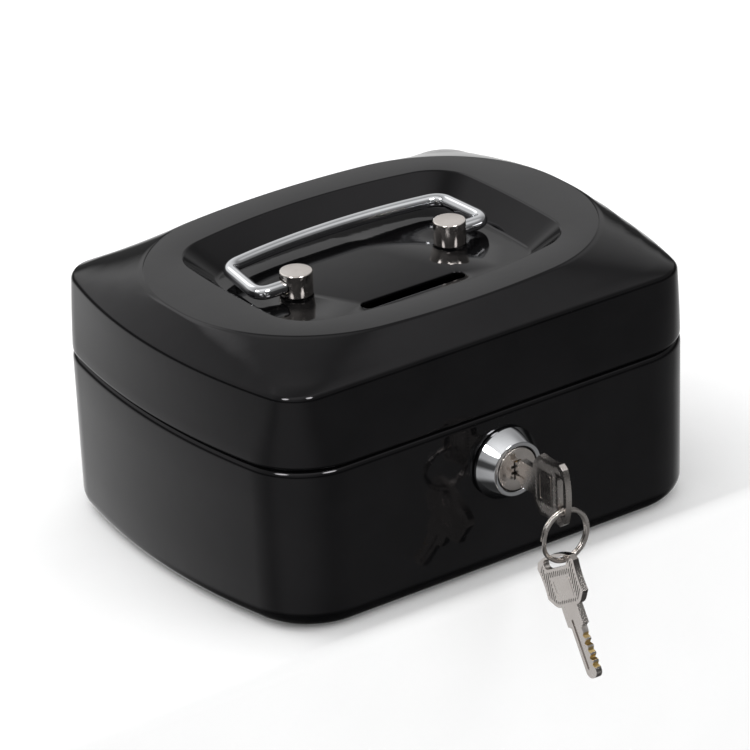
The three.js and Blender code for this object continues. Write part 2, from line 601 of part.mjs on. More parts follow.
// ---------------------------------------------------------------- coin tray
function coinTray() {
  const top = TRAY.flangeZ + TRAY.flange;
  const outer = loft([
    [inset(BODY, NECK_INSET + 0.7), top],
    [inset(BODY, NECK_INSET + 0.7), TRAY.flangeZ],
    [inset(BODY, TRAY.inset), TRAY.flangeZ],
    [inset(BODY, TRAY.inset + 0.8), TRAY.floorZ + 2],
    [inset(BODY, TRAY.inset + 2.4), TRAY.floorZ],
  ]);
  const bottom = TRAY.floorZ + TRAY.wall;
  const pockets = loft([
    [inset(BODY, TRAY.inset + TRAY.wall), top + 1],
    [inset(BODY, TRAY.inset + TRAY.wall + 0.8), bottom + 2],
    [inset(BODY, TRAY.inset + TRAY.wall + 2.4), bottom],
  ]);
  const half = TRAY.wall / 2;
  const wallX = (x, y0, y1) => block(x - half, x + half, y0, y1, TRAY.floorZ, top);
  const wallY = (y, x0, x1) => block(x0, x1, y - half, y + half, TRAY.floorZ, top);
  const walls = [
    wallY(TRAY_ROW_Y, -90, 90),
    wallY(TRAY_NOTCH.back + half, TRAY_NOTCH.left - TRAY.wall, TRAY_NOTCH.right + TRAY.wall),
    wallX(TRAY_NOTCH.left - half, -70, TRAY_ROW_Y),
    wallX(TRAY_NOTCH.right + half, -70, TRAY_ROW_Y),
  ];
  for (let i = 1; i < TRAY_BAYS; i += 1) {
    walls.push(wallX((i / TRAY_BAYS - 0.5) * 2 * (BODY.a - TRAY.inset), TRAY_ROW_Y, 70));
  }
  const cut = walls.reduce((rest, wall) => rest.subtract(wall), pockets);
  const notch = block(TRAY_NOTCH.left, TRAY_NOTCH.right, -70, TRAY_NOTCH.back, TRAY.floorZ - 2, top + 2);
  return minus(outer, cut, notch);
}

// ---------------------------------------------------------------- assembly
place("base_shell", baseShell(), enamel);
place("coin_tray", coinTray(), plastic);
place("lid_shell", lidShell(), enamel);
place("latch_catch", latchCatch(), zinc);

const lidWallLean = Math.atan(lidWallY(LID_RIVET_Z) - lidWallY(LID_RIVET_Z + 1));
for (const [side, word] of [[-1, "left"], [1, "right"]]) {
  place(`hinge_leaf_base_${word}`, hingeLeaf(side, false), zinc);
  place(`hinge_leaf_lid_${word}`, hingeLeaf(side, true), zinc);
  place(`hinge_pin_${word}`, hingePin(side), zinc);
  for (const [number, offset] of [[1, -RIVET_SPREAD], [2, RIVET_SPREAD]]) {
    const x = side * HINGE_X + offset;
    place(`base_rivet_${word}_${number}`, rivet(), zinc).position.set(x, BODY.b, BASE_RIVET_Z);
    const lidRivet = place(`lid_rivet_${word}_${number}`, rivet(), zinc);
    lidRivet.position.set(x, lidWallY(LID_RIVET_Z), LID_RIVET_Z);
    lidRivet.rotation.x = lidWallLean;
  }
  const pillar = new THREE.Group();
  pillar.position.set(side * POST_X, POST_Y, 0);
  place(`handle_post_${word}`, handlePost(side), nickel, pillar);
  place(`post_screw_${word}`, postScrew(), zinc, pillar);
  const top = FLOOR_Z - SHEET - GAP;
  const ring = washer(top - POST_WASHER.thickness, top, POST_WASHER.r, SCREW_R + GAP);
  place(`post_washer_${word}`, toSolid(ring), zinc, pillar);
  cashBox.add(pillar);
}

const handle = place("handle_bail", bail(), chrome);
handle.position.set(0, POST_Y, BAIL_AXIS_Z);
handle.rotation.x = BAIL_RAISE;

const lock = new THREE.Group();
lock.position.z = LOCK_Z;
cashBox.add(lock);
place("lock_housing", lockHousing(), chrome, lock);
place("lock_washer", flatWasher(LOCK_WASHER, BARREL_R + GAP), zinc, lock);
place("lock_nut", lockNut(), zinc, lock);
place("lock_plug", lockPlug(), nickel, lock);
waferDistances().forEach((distance, i) => place(`lock_wafer_${i + 1}`, wafer(distance), brass, lock));
place("lock_cam", lockCam(), zinc, lock);
place("cam_washer", flatWasher(CAM_WASHER, CAM_SCREW.bore), zinc, lock);
place("cam_screw", camScrew(), zinc, lock);

// Turns a key so that its width runs along across and its length, head to tip, along tipward.
function turnKey(key, across, tipward) {
  key.setRotationFromMatrix(new THREE.Matrix4().makeBasis(across, tipward, across.clone().cross(tipward)));
}

const inserted = place("key_in_lock", keyBlank(), nickel, lock);
inserted.position.y = -KEY_HEAD_TOP;
turnKey(inserted, new THREE.Vector3(0, 0, 1), new THREE.Vector3(0, 1, 0));

const ringTopY = -KEY_HEAD_TOP + RING_AT.v;
const ringTopZ = LOCK_Z - RING_AT.u;
place("key_ring", splitRing(), nickel).position.set(0, ringTopY, ringTopZ - RING_R);

// The spare key hangs from the ring's lowest point by the end of its slot, so it leans towards -Y.
const spare = place("spare_key", keyBlank(), nickel);
const across = new THREE.Vector3(0, -Math.cos(SPARE_TILT), Math.sin(SPARE_TILT));
const tipward = new THREE.Vector3(0, -Math.sin(SPARE_TILT), -Math.cos(SPARE_TILT));
turnKey(spare, across, tipward);
spare.position.set(0, ringTopY, ringTopZ - 2 * RING_R);
spare.position.addScaledVector(across, -RING_AT.u).addScaledVector(tipward, -RING_AT.v);

export default cashBox;
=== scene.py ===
"""Looks of a small lockable steel cash box: enamelled shells, chrome bail, cam lock and hanging keys."""
import json
import math

import bpy
from mathutils import Matrix, Vector
from mathutils.geometry import delaunay_2d_cdt

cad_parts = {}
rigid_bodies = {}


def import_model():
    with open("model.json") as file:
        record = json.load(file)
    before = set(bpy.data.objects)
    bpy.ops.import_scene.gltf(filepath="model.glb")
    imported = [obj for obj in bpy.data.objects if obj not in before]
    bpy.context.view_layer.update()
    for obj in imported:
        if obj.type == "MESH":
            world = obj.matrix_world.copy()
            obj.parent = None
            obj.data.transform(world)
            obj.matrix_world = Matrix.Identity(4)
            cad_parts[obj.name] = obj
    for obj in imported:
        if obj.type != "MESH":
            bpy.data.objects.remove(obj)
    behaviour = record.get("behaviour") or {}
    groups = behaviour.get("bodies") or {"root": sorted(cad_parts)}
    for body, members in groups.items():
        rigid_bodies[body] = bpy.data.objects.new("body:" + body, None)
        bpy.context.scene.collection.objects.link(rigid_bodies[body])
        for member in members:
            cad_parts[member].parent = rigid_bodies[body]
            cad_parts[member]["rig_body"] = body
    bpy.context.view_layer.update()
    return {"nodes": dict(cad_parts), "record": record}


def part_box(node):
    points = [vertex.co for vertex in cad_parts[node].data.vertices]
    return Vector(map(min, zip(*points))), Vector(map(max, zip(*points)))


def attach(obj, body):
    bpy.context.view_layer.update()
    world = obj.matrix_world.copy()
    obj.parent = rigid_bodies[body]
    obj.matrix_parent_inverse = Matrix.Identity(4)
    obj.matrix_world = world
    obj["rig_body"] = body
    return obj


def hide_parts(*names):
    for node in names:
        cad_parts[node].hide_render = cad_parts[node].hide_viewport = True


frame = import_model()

MM = 0.001                       # metres in a millimetre
nodes = frame["nodes"]
SLOT_OF = {part["node"]: part["material_slot"] for part in frame["record"]["subparts"]}


# ---------------------------------------------------------------- driving dimensions, in millimetres
def box_mm(node):
    """Lowest and highest corner of a CAD node in millimetres."""
    low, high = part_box(node)
    return low / MM, high / MM


def centre_mm(node):
    low, high = box_mm(node)
    return (low + high) / 2


BASE_HIGH = box_mm("base_shell")[1]
LID_LOW, LID_HIGH = box_mm("lid_shell")
POST_RIGHT_LOW, POST_RIGHT_HIGH = box_mm("handle_post_right")
POST_CENTRE = centre_mm("handle_post_right")
LOCK_LOW = box_mm("lock_housing")[0]
PLUG_CENTRE = centre_mm("lock_plug")

SHEET = 1.0
GAP = 0.3                        # clearance between parts that move or fit into each other
HALF_X = BASE_HIGH.x
HALF_Y = BASE_HIGH.y

# Plan outlines: half length, half depth, bow of the ends, bow of the long sides, corner radius.
BODY = dict(a=HALF_X, b=HALF_Y, bow_end=8.4, bow_side=0.02, r=21.0)
FOOT = dict(a=HALF_X - 0.45, b=HALF_Y - 0.45, bow_end=8.4, bow_side=0.02, r=20.6)
SHOULDER = dict(a=HALF_X - 1.0, b=HALF_Y - 2.5, bow_end=9.2, bow_side=0.02, r=12.0)
PLATEAU = dict(a=66.4, b=47.1, bow_end=7.2, bow_side=9.9, r=44.0)
WELL_RIM = dict(a=48.7, b=36.4, bow_end=2.2, bow_side=7.3, r=14.4)
WELL_FLOOR = dict(a=41.0, b=28.7, bow_end=1.9, bow_side=6.2, r=10.0)
OUTLINE_STEPS = (16, 28, 16)     # points along the end, the corner and the side in each quarter

FOOT_FILLET = 6.0
NECK_TOP_Z = BASE_HIGH.z
NECK_INSET = 2.4
BASE_TOP_Z = NECK_TOP_Z - 3.4
BASE_SHOULDER_R = 2.2
LID_RIM_Z = LID_LOW.z
LID_RIM_R = 0.5
LID_HEM = 1.6                    # width of the folded hem inside the lid's rim
LID_SIDE_LOW_Z = LID_RIM_Z + 0.9
LID_SIDE_LEVELS = (64.0, 60.0, 56.0)
LID_SIDE_TOP_Z = 67.2
HIP_FOOT = dict(a=HALF_X - 2.1, b=HALF_Y - 3.6, bow_end=9.2, bow_side=0.02, r=10.9)
HIP_FOOT_Z = 70.2
LID_SHOULDER_R = 2.2
LID_SHOULDER_TOP_Z = HIP_FOOT_Z + 0.7
PLATEAU_Z = LID_HIGH.z
FLOOR_Z = PLATEAU_Z - 7.4

# Distances over the lid's top, measured from the edge of the well's floor, and the outline at each.
FLOOR_INNER_S = -4.2
WELL_RIM_S = 7.7
PLATEAU_EDGE_S = 25.4
HIP_FOOT_S = 33.3
LID_STOPS = ((0.0, WELL_FLOOR), (WELL_RIM_S, WELL_RIM), (PLATEAU_EDGE_S, PLATEAU), (HIP_FOOT_S, HIP_FOOT))
SLOT_HALF = 15.0
SLOT_R = 2.2
SLOT_Y = -18.9
SCREW_HOLE_R = 1.7

POST_R = (POST_RIGHT_HIGH.x - POST_RIGHT_LOW.x) / 2
POST_X = POST_CENTRE.x
POST_Y = POST_CENTRE.y
POST_LOW_Z = POST_RIGHT_LOW.z
POST_TOP_Z = POST_RIGHT_HIGH.z
BAIL_WIRE_R = 2.0
BAIL_AXIS_Z = 73.6
BAIL_RAISE = math.radians(2.6)
BAIL_SOCKET_DEPTH = 2.3
# Half of the bail in its own plane; two points make a straight piece, and three make a curve.
BAIL_PIECES = (
    ((POST_X + POST_R - BAIL_SOCKET_DEPTH + 0.25, 0.0), (34.8, 0.0)),
    ((34.8, 0.0), (38.6, 0.0), (38.3, 4.0)),
    ((38.3, 4.0), (37.0, 15.2)),
    ((37.0, 15.2), (36.6, 18.6), (32.6, 19.4)),
    ((32.6, 19.4), (16.5, 22.0), (0.0, 22.0)),
)
BAIL_STEPS = (6, 12, 12, 12, 30)

SCREW_R = 1.4
SCREW_HEAD_R = 2.9
SCREW_HEAD_DEPTH = 1.9
SCREW_THREAD = 0.22
SCREW_RECESS = (1.6, 0.35)
SCREW_RECESS_DEPTH = 1.1
POST_WASHER_R = 3.6
POST_WASHER_THICKNESS = 0.6

HINGE_X = 38.0
HINGE_WIDTH = 30.0
HINGE_Y = 61.4
HINGE_Z = 49.0
KNUCKLE_R = 2.2
HINGE_PIN_R = 0.9
HINGE_PIN_OVERHANG = 0.9
HINGE_PIN_BUTTON = 0.6
LEAF = 0.9
BASE_LEAF_LOW_Z = 37.5
LID_LEAF_TOP_Z = 61.0
RIVET_SPREAD = 9.0
RIVET_R = 1.0
BASE_RIVET_Z = 42.0
LID_RIVET_Z = 56.5
CATCH_HALF = 6.5
CATCH_LIP_Y = -48.4
CATCH_LIP_RISE = 0.4
CATCH_SHEET = 1.2
CATCH_TOP_Z = 62.0
CATCH_ROOM = 4.0

LOCK_Z = PLUG_CENTRE.z
LOCK_FACE = -LOCK_LOW.y          # distance of the lock's face from the box centre, along -Y
BEZEL_R = 10.5
FACE_R = 7.85
BARREL_R = 8.0
BARREL_END = 46.8
PLUG_R = 6.3
PLUG_BORE_R = 6.65
PLUG_END = 46.6
PLUG_SQUARE_HALF = 3.2
PLUG_SQUARE_END = 43.9
KEYWAY_END = 51.2
KEYWAY_HALF = 1.25
KEYWAY_WARD_DEPTH = 0.85
KEYWAY_WARDS = ((0.7, 1.5), (-1.1, -0.3))
CAM_REACH = 21.0
CAM_HALF_WIDTH = 4.0
CAM_DISC_R = 7.0
CAM_BACK = 44.3
CAM_FRONT = 46.3
CAM_FOLD = 1.7
CAM_FOLD_FRONT = 52.0
CAM_SCREW = dict(head_low=40.9, head_high=42.6, head_r=3.2, shaft_r=1.5, shaft_high=49.2)
CAM_SCREW_BORE = 1.8
CAM_WASHER = dict(outer=5.0, low=42.9, high=43.6)
LOCK_WASHER = dict(outer=10.6, low=56.75, high=57.55)
NUT_R = 11.2
NUT_BACK = 53.5
NUT_FRONT = 56.5
THREAD_PITCH = 0.8
THREAD_END = 58.0
WAFERS = 4
WAFER_FIRST = 62.2
WAFER_PITCH = 2.4
WAFER_HALF_WIDTH = 3.3
WAFER_HALF_HEIGHT = 5.0
WAFER_THICKNESS = 0.8
WAFER_SLOT = 1.3
WAFER_WINDOW = (1.35, 3.1)

KEY_THICKNESS = 1.9
KEY_HEAD_HALF = 9.3
KEY_HEAD_LENGTH = 14.8
KEY_NECK_HALF = 4.0
KEY_NECK_END = 21.0
KEY_BLADE_HALF = 2.5
KEY_LENGTH = 35.5
KEY_HOLE_V = 2.5
KEY_HOLE_HALF = 4.2
KEY_HOLE_R = 1.4
KEY_BITES = ((23.6, 0.7), (25.7, 1.1), (27.8, 0.6), (29.9, 1.0), (32.0, 0.8))   # place and depth of each
KEY_BITE_HALF = 0.8
KEY_BITE_FLAT = 0.15
RIB_PITCH = 0.8
RIB_HALF_WIDTH = 0.27
RIB_HEIGHT = 0.14
RIB_STEP = 0.15                  # spacing of the spots that are tested along a rib
KEY_HEAD_TOP = 88.0              # outer end of the inserted key, along -Y
RING_AT_U = 4.4
RING_AT_V = 2.3
RING_R = 7.35
RING_WIRE_R = 0.75
SPARE_TILT = math.radians(30)

TRAY_FLOOR_Z = 37.0
TRAY_TOP_Z = 53.2
TRAY_INSET = 4.4
TRAY_FLANGE_INSET = NECK_INSET + 0.7
TRAY_FLANGE = 1.0
TRAY_FLANGE_R = 0.4
TRAY_DRAFT = 0.7
TRAY_FOOT_R = 2.0
TRAY_WALL = 1.2
TRAY_CORNER_R = 4.5
TRAY_SCOOP_R = 3.5
TRAY_ROW_Y = 8.0
TRAY_BAYS = 4
NOTCH_LEFT = -26.0
NOTCH_RIGHT = 14.0
NOTCH_BACK = -39.5
NOTCH_CORNER_R = 1.5
NOTCH_BESIDE = 4.0               # outline points this near to the notch are dropped
FAR = 90.0                       # beyond the box in any direction


# ---------------------------------------------------------------- camera
CAMERA_AZIMUTH = math.radians(-34.64)
CAMERA_ELEVATION = math.radians(25.84)
CAMERA_ROLL = math.radians(-2.25)
CAMERA_DISTANCE = 1.5187
CAMERA_TARGET = Vector((-0.00056, 0.0004, 0.03718))
CAMERA_LENS = 260.6


def make_camera():
    data = bpy.data.cameras.new("camera")
    data.lens = CAMERA_LENS
    data.sensor_width = 36.0
    data.clip_start = 0.05
    data.clip_end = 20.0
    camera = bpy.data.objects.new("camera", data)
    bpy.context.scene.collection.objects.link(camera)
    level = math.cos(CAMERA_ELEVATION)
    back = Vector((
        math.sin(CAMERA_AZIMUTH) * level,
        -math.cos(CAMERA_AZIMUTH) * level,
        math.sin(CAMERA_ELEVATION),
    ))
    right = Vector((math.cos(CAMERA_AZIMUTH), math.sin(CAMERA_AZIMUTH), 0.0))
    up = back.cross(right)
    rolled_right = right * math.cos(CAMERA_ROLL) + up * math.sin(CAMERA_ROLL)
    rolled_up = up * math.cos(CAMERA_ROLL) - right * math.sin(CAMERA_ROLL)
    turn = Matrix((rolled_right, rolled_up, back)).transposed().to_4x4()
    camera.matrix_world = Matrix.Translation(CAMERA_TARGET + back * CAMERA_DISTANCE) @ turn
    bpy.context.scene.camera = camera


# ---------------------------------------------------------------- node helpers
class Nodes:
    """A small wrapper that adds shader nodes and links them by socket name."""

    def __init__(self, tree):
        self.tree = tree
        tree.nodes.clear()

    def add(self, kind, inputs=None, **settings):
        node = self.tree.nodes.new(kind)
        for key, value in settings.items():
            setattr(node, key, value)
        for key, value in (inputs or {}).items():
            socket = node.inputs[key]
            if isinstance(value, bpy.types.NodeSocket):
                self.tree.links.new(value, socket)
            else:
                socket.default_value = value
        return node

    def maths(self, operation, first, second):
        return self.add("ShaderNodeMath", {0: first, 1: second}, operation=operation).outputs[0]

    def spread(self, value, from_low, from_high, to_low, to_high, blend="LINEAR"):
        node = self.add("ShaderNodeMapRange", {
            "Value": value, "From Min": from_low, "From Max": from_high,
            "To Min": to_low, "To Max": to_high,
        }, interpolation_type=blend)
        return node.outputs["Result"]

    def soft(self, *limits):
        return self.spread(*limits, blend="SMOOTHSTEP")

    def ramp(self, value, *stops):
        node = self.add("ShaderNodeValToRGB", {"Fac": value})
        elements = node.color_ramp.elements
        while len(elements) < len(stops):
            elements.new(0.5)
        for element, (position, colour) in zip(elements, stops):
            element.position = position
            element.color = (*colour, 1.0)
        return node.outputs["Color"]

    def noise(self, coordinate, scale, detail=2.0, roughness=0.5):
        node = self.add("ShaderNodeTexNoise", {
            "Vector": coordinate, "Scale": scale, "Detail": detail, "Roughness": roughness,
        })
        return node.outputs["Fac"]

    def bump(self, height, strength, distance, normal=None):
        inputs = {"Height": height, "Strength": strength, "Distance": distance}
        if normal is not None:
            inputs["Normal"] = normal
        return self.add("ShaderNodeBump", inputs).outputs["Normal"]


def new_material(name):
    material = bpy.data.materials.new(name)
    material.use_nodes = True
    tree = Nodes(material.node_tree)
    place = tree.add("ShaderNodeTexCoord").outputs["Object"]
    return material, tree, place


def finish_material(tree, inputs):
    shader = tree.add("ShaderNodeBsdfPrincipled", inputs)
    tree.add("ShaderNodeOutputMaterial", {"Surface": shader.outputs["BSDF"]})


# ---------------------------------------------------------------- steps round a curve
def span(start, end, steps):
    """Evenly spaced values with both ends."""
    return [start + (end - start) * i / steps for i in range(steps + 1)]


def bends(radius, degrees):
    """How far a rounded edge falls short of its square corner, along each of the two sides."""
    turns = [math.radians(angle) for angle in degrees]
    return [(radius * (1 - math.cos(turn)), radius * (1 - math.sin(turn))) for turn in turns]


# ---------------------------------------------------------------- stage
SHELF_EDGE_Y = -0.066            # the shelf stops here so that the keys hang free
SHELF_EDGE_R = 0.004
SHELF_HALF = 3.0
SHELF_DROP = -0.6

# Bright panels seen in reflections: direction, inner and outer half angle, added radiance.
STUDIO_PANELS = (
    ((-0.05, 0.7, 0.7), math.radians(7), math.radians(18), 0.8),
    ((-0.68, -0.18, 0.70), math.radians(6), math.radians(10), 20.0),
    ((0.10, -0.70, 0.70), math.radians(6), math.radians(10), 20.0),
)


def make_world():
    """White to the camera and to matt surfaces; reflections see a studio of soft tones by direction."""
    world = bpy.data.worlds.new("studio")
    bpy.context.scene.world = world
    world.use_nodes = True
    tree = Nodes(world.node_tree)
    direction = tree.add("ShaderNodeTexCoord").outputs["Generated"]
    split = tree.add("ShaderNodeSeparateXYZ", {"Vector": direction})
    x, y, z = (split.outputs[axis] for axis in "XYZ")

    # In front it brightens overhead and to the left; behind, it brightens away from the box.
    front = tree.maths("ADD", tree.soft(z, 0.5, 0.95, 0.2, 0.95), tree.soft(x, -0.75, 0.1, 0.26, 0.0))
    rear = tree.spread(y, 0.0, 0.95, 0.25, 0.9)
    share = tree.soft(y, -0.35, 0.2, 0.0, 1.0)
    tone = tree.add("ShaderNodeMix", {0: share, 2: front, 3: rear}, data_type="FLOAT").outputs[0]
    # A dark band lies along the horizon, and the tones fade out straight below.
    height = tree.maths("ABSOLUTE", tree.maths("SUBTRACT", z, 0.06), 0.0)
    tone = tree.maths("MULTIPLY", tone, tree.soft(height, 0.08, 0.3, 0.12, 1.0))
    tone = tree.maths("MULTIPLY", tone, tree.soft(z, -0.75, -0.5, 0.1, 1.0))
    for centre, inner, outer, glow in STUDIO_PANELS:
        toward = Vector(centre).normalized()
        nearness = tree.add("ShaderNodeVectorMath", {0: direction, 1: toward}, operation="DOT_PRODUCT")
        panel = tree.soft(nearness.outputs["Value"], math.cos(outer), math.cos(inner), 0.0, glow)
        tone = tree.maths("ADD", tone, panel)
    studio = tree.add("ShaderNodeBackground", {"Color": tone})
    white = tree.add("ShaderNodeBackground", {"Color": (1.0, 1.0, 1.0, 1.0), "Strength": 1.0})
    path = tree.add("ShaderNodeLightPath")
    mix = tree.add("ShaderNodeMixShader", {
        "Fac": path.outputs["Is Glossy Ray"],
        1: white.outputs["Background"],
        2: studio.outputs["Background"],
    })
    tree.add("ShaderNodeOutputWorld", {"Surface": mix.outputs["Shader"]})


def make_light(name, location, aim, size, power):
    data = bpy.data.lights.new(name, "AREA")
    data.energy = power
    data.shape = "SQUARE"
    data.size = size
    lamp = bpy.data.objects.new(name, data)
    lamp.location = location
    lamp.rotation_euler = (Vector(aim) - Vector(location)).to_track_quat("-Z", "Y").to_euler()
    lamp.visible_glossy = False
    bpy.context.scene.collection.objects.link(lamp)


def make_floor():
    """A pale shelf whose rounded front edge lies just in front of the box."""
    material, tree, place = new_material("pale_shelf")
    speckle = tree.noise(place, 30.0, 3.0)
    tone = tree.ramp(speckle, (0.3, (0.93, 0.93, 0.93)), (0.7, (0.95, 0.95, 0.95)))
    finish_material(tree, {"Base Color": tone, "Roughness": 0.9, "Specular IOR Level": 0.1})
    edge = bends(SHELF_EDGE_R, span(90, 0, 12))
    section = [(SHELF_HALF, 0.0), *((SHELF_EDGE_Y + back, -down) for back, down in edge)]
    section.append((SHELF_EDGE_Y, SHELF_DROP))
    mesh = bpy.data.meshes.new("shelf")
    verts = [(sign * SHELF_HALF, y, z) for y, z in section for sign in (-1, 1)]
    faces = [(2 * k, 2 * k + 2, 2 * k + 3, 2 * k + 1) for k in range(len(section) - 1)]
    mesh.from_pydata(verts, [], faces)
    mesh.polygons.foreach_set("use_smooth", [True] * len(faces))
    mesh.materials.append(material)
    shelf = bpy.data.objects.new("shelf", mesh)
    bpy.context.scene.collection.objects.link(shelf)
    shelf.visible_glossy = False


# ---------------------------------------------------------------- materials
def black_enamel():
    material, tree, place = new_material("black_enamel")
    peel = tree.noise(place, 420.0, 2.0)
    waves = tree.noise(place, 60.0, 2.0)
    normal = tree.bump(waves, 0.1, 0.0006)
    normal = tree.bump(peel, 0.03, 0.0003, normal)
    patch = tree.noise(place, 60.0, 4.0, 0.6)
    rough = tree.spread(patch, 0.3, 0.7, 0.045, 0.08)
    tone = tree.ramp(patch, (0.35, (0.0022, 0.0022, 0.0024)), (0.65, (0.0034, 0.0033, 0.0036)))
    finish_material(tree, {
        "Base Color": tone,
        "Roughness": rough,
        "IOR": 1.37,
        "Specular Tint": (0.99, 0.965, 1.0, 1.0),
        "Normal": normal,
    })
    return material


def plated(name, low, high, rough_low, rough_high, grain_scale, strength, top_rough=None):
    """A plated metal, cloudy in tone and gloss; its upward faces can be left with a satin finish."""
    material, tree, place = new_material(name)
    cloud = tree.noise(place, grain_scale, 4.0, 0.6)
    fine = tree.noise(place, grain_scale * 14.0, 2.0)
    rough = tree.spread(cloud, 0.3, 0.7, rough_low, rough_high)
    if top_rough:
        normal = tree.add("ShaderNodeNewGeometry").outputs["Normal"]
        facing = tree.add("ShaderNodeSeparateXYZ", {"Vector": normal})
        upward = tree.spread(facing.outputs["Z"], 0.6, 0.95, 0.0, top_rough)
        rough = tree.maths("ADD", rough, upward)
    finish_material(tree, {
        "Base Color": tree.ramp(cloud, (0.35, low), (0.65, high)),
        "Metallic": 1.0,
        "Roughness": rough,
        "Normal": tree.bump(fine, strength, 0.0002),
    })
    return material


def tray_plastic():
    material, tree, place = new_material("tray_plastic")
    grain = tree.noise(place, 1800.0, 2.0)
    cloud = tree.noise(place, 40.0, 3.0)
    finish_material(tree, {
        "Base Color": tree.ramp(cloud, (0.35, (0.014, 0.014, 0.015)), (0.65, (0.022, 0.022, 0.024))),
        "Roughness": tree.spread(grain, 0.3, 0.7, 0.42, 0.58),
        "Normal": tree.bump(grain, 0.25, 0.0002),
    })
    return material


# ---------------------------------------------------------------- outlines and skins
def quarter_arcs(a, b, bow_end, bow_side, r):
    """The end, corner and side arcs of an outline's first quarter, and the polar angles where they meet."""
    end_r = (b * b + bow_end * bow_end) / (2 * bow_end)
    side_r = (a * a + bow_side * bow_side) / (2 * bow_side)
    end = Vector((a - end_r, 0.0))
    side = Vector((0.0, b - side_r))
    gap = side - end
    along = ((end_r - r) ** 2 - (side_r - r) ** 2 + gap.length_squared) / (2 * gap.length)
    across = math.sqrt((end_r - r) ** 2 - along ** 2)
    unit = gap.normalized()
    corner = end + unit * along + Vector((-unit.y, unit.x)) * across

    def join(centre, radius):
        touch = centre + (corner - centre).normalized() * radius
        return math.atan2(touch.y, touch.x)

    return ((end, end_r), (corner, r), (side, side_r)), (join(end, end_r), join(side, side_r))


def edge_point(arcs, joins, angle):
    centre, radius = arcs[sum(angle > join for join in joins)]
    ray = Vector((math.cos(angle), math.sin(angle)))
    reach = centre.dot(ray)
    return ray * (reach + math.sqrt(reach ** 2 - centre.length_squared + radius ** 2))


def quarter_angles():
    """Polar angles that follow the body's arcs, so that every outline is sampled along the same rays."""
    joins = quarter_arcs(**BODY)[1]
    stops = (0.0, *joins, math.pi / 2)
    angles = []
    for steps, low, high in zip(OUTLINE_STEPS, stops, stops[1:]):
        angles += [low + (high - low) * i / steps for i in range(steps)]
    return angles


QUARTER_ANGLES = quarter_angles()


def outline_points(outline):
    arcs, joins = quarter_arcs(**outline)
    quarter = [edge_point(arcs, joins, angle) for angle in QUARTER_ANGLES]
    loop = [(p.x, p.y) for p in quarter] + [(0.0, outline["b"])]
    loop += [(-p.x, p.y) for p in reversed(quarter[1:])]
    return loop + [(-x, -y) for x, y in loop]


def inset(outline, d):
    return {**outline, "a": outline["a"] - d, "b": outline["b"] - d, "r": outline["r"] - d}


def between(low, high, t):
    return {key: low[key] + (high[key] - low[key]) * t for key in low}


def rounded(corners, steps=5, closed=False):
    """A polyline through (x, y, radius) corners, each corner turned into an arc of its radius."""
    count = len(corners)
    path = []
    for i, (x, y, radius) in enumerate(corners):
        if radius == 0 or (not closed and i in (0, count - 1)):
            path.append((x, y))
            continue
        here = Vector((x, y))
        back = (Vector(corners[i - 1][:2]) - here).normalized()
        ahead = (Vector(corners[(i + 1) % count][:2]) - here).normalized()
        half = back.angle(ahead) / 2
        centre = here + (back + ahead).normalized() * (radius / math.sin(half))
        first = here + back * (radius / math.tan(half)) - centre
        last = here + ahead * (radius / math.tan(half)) - centre
        sweep = first.angle_signed(last)
        for k in range(steps + 1):
            turn = -sweep * k / steps
            spot = centre + Matrix.Rotation(turn, 2) @ first
            path.append((spot.x, spot.y))
    return path


class Skin:
    """Vertices and faces of one mesh, in millimetres."""

    def __init__(self):
        self.verts = []
        self.faces = []

    def loop(self, points):
        start = len(self.verts)
        self.verts += [tuple(p) for p in points]
        return list(range(start, len(self.verts)))

    def bridge(self, first, second):
        """Quads between closed loops, facing out where the first is inside or above the second."""
        count = len(first)
        for i in range(count):
            j = (i + 1) % count
            self.faces.append((first[i], second[i], second[j], first[j]))

    def stack(self, rings):
        """Closed rings of points, each bridged to the next."""
        loops = [self.loop(points) for points in rings]
        for first, second in zip(loops, loops[1:]):
            self.bridge(first, second)
        return loops

    def add(self, other, matrix=None):
        """Takes in another skin, moved by a matrix."""
        start = len(self.verts)
        turn = matrix or Matrix.Identity(4)
        self.verts += [tuple(turn @ Vector(vert)) for vert in other.verts]
        self.faces += [tuple(start + i for i in face) for face in other.faces]
        return self

    def cap(self, loop, flip=False):
        self.faces.append(tuple(reversed(loop)) if flip else tuple(loop))

    def fill(self, outer, holes, flip=False):
        """Triangles between an outer loop and its holes, all at one height."""
        indices = [i for loop in (outer, *holes) for i in loop]
        flat = [Vector(self.verts[i][:2]) for i in indices]
        edges = []
        start = 0
        for loop in (outer, *holes):
            count = len(loop)
            edges += [(start + i, start + (i + 1) % count) for i in range(count)]
            start += count
        result = delaunay_2d_cdt(flat, edges, [list(range(len(outer)))], 1, 1e-6)
        spots, triangles, origins = result[0], result[2], result[3]
        hole_shapes = [[Vector(self.verts[i][:2]) for i in loop] for loop in holes]
        for triangle in triangles:
            middle = sum((spots[i] for i in triangle), Vector((0.0, 0.0))) / 3
            if any(inside(middle, shape) for shape in hole_shapes):
                continue
            face = [indices[origins[i][0]] for i in triangle]
            a, b, c = (Vector(self.verts[i][:2]) for i in face)
            upward = (b - a).cross(c - a) > 0
            self.faces.append(tuple(face if upward != flip else reversed(face)))


def inside(point, shape):
    hit = False
    for i, a in enumerate(shape):
        b = shape[i - 1]
        if (a.y > point.y) != (b.y > point.y):
            if point.x < (b.x - a.x) * (point.y - a.y) / (b.y - a.y) + a.x:
                hit = not hit
    return hit


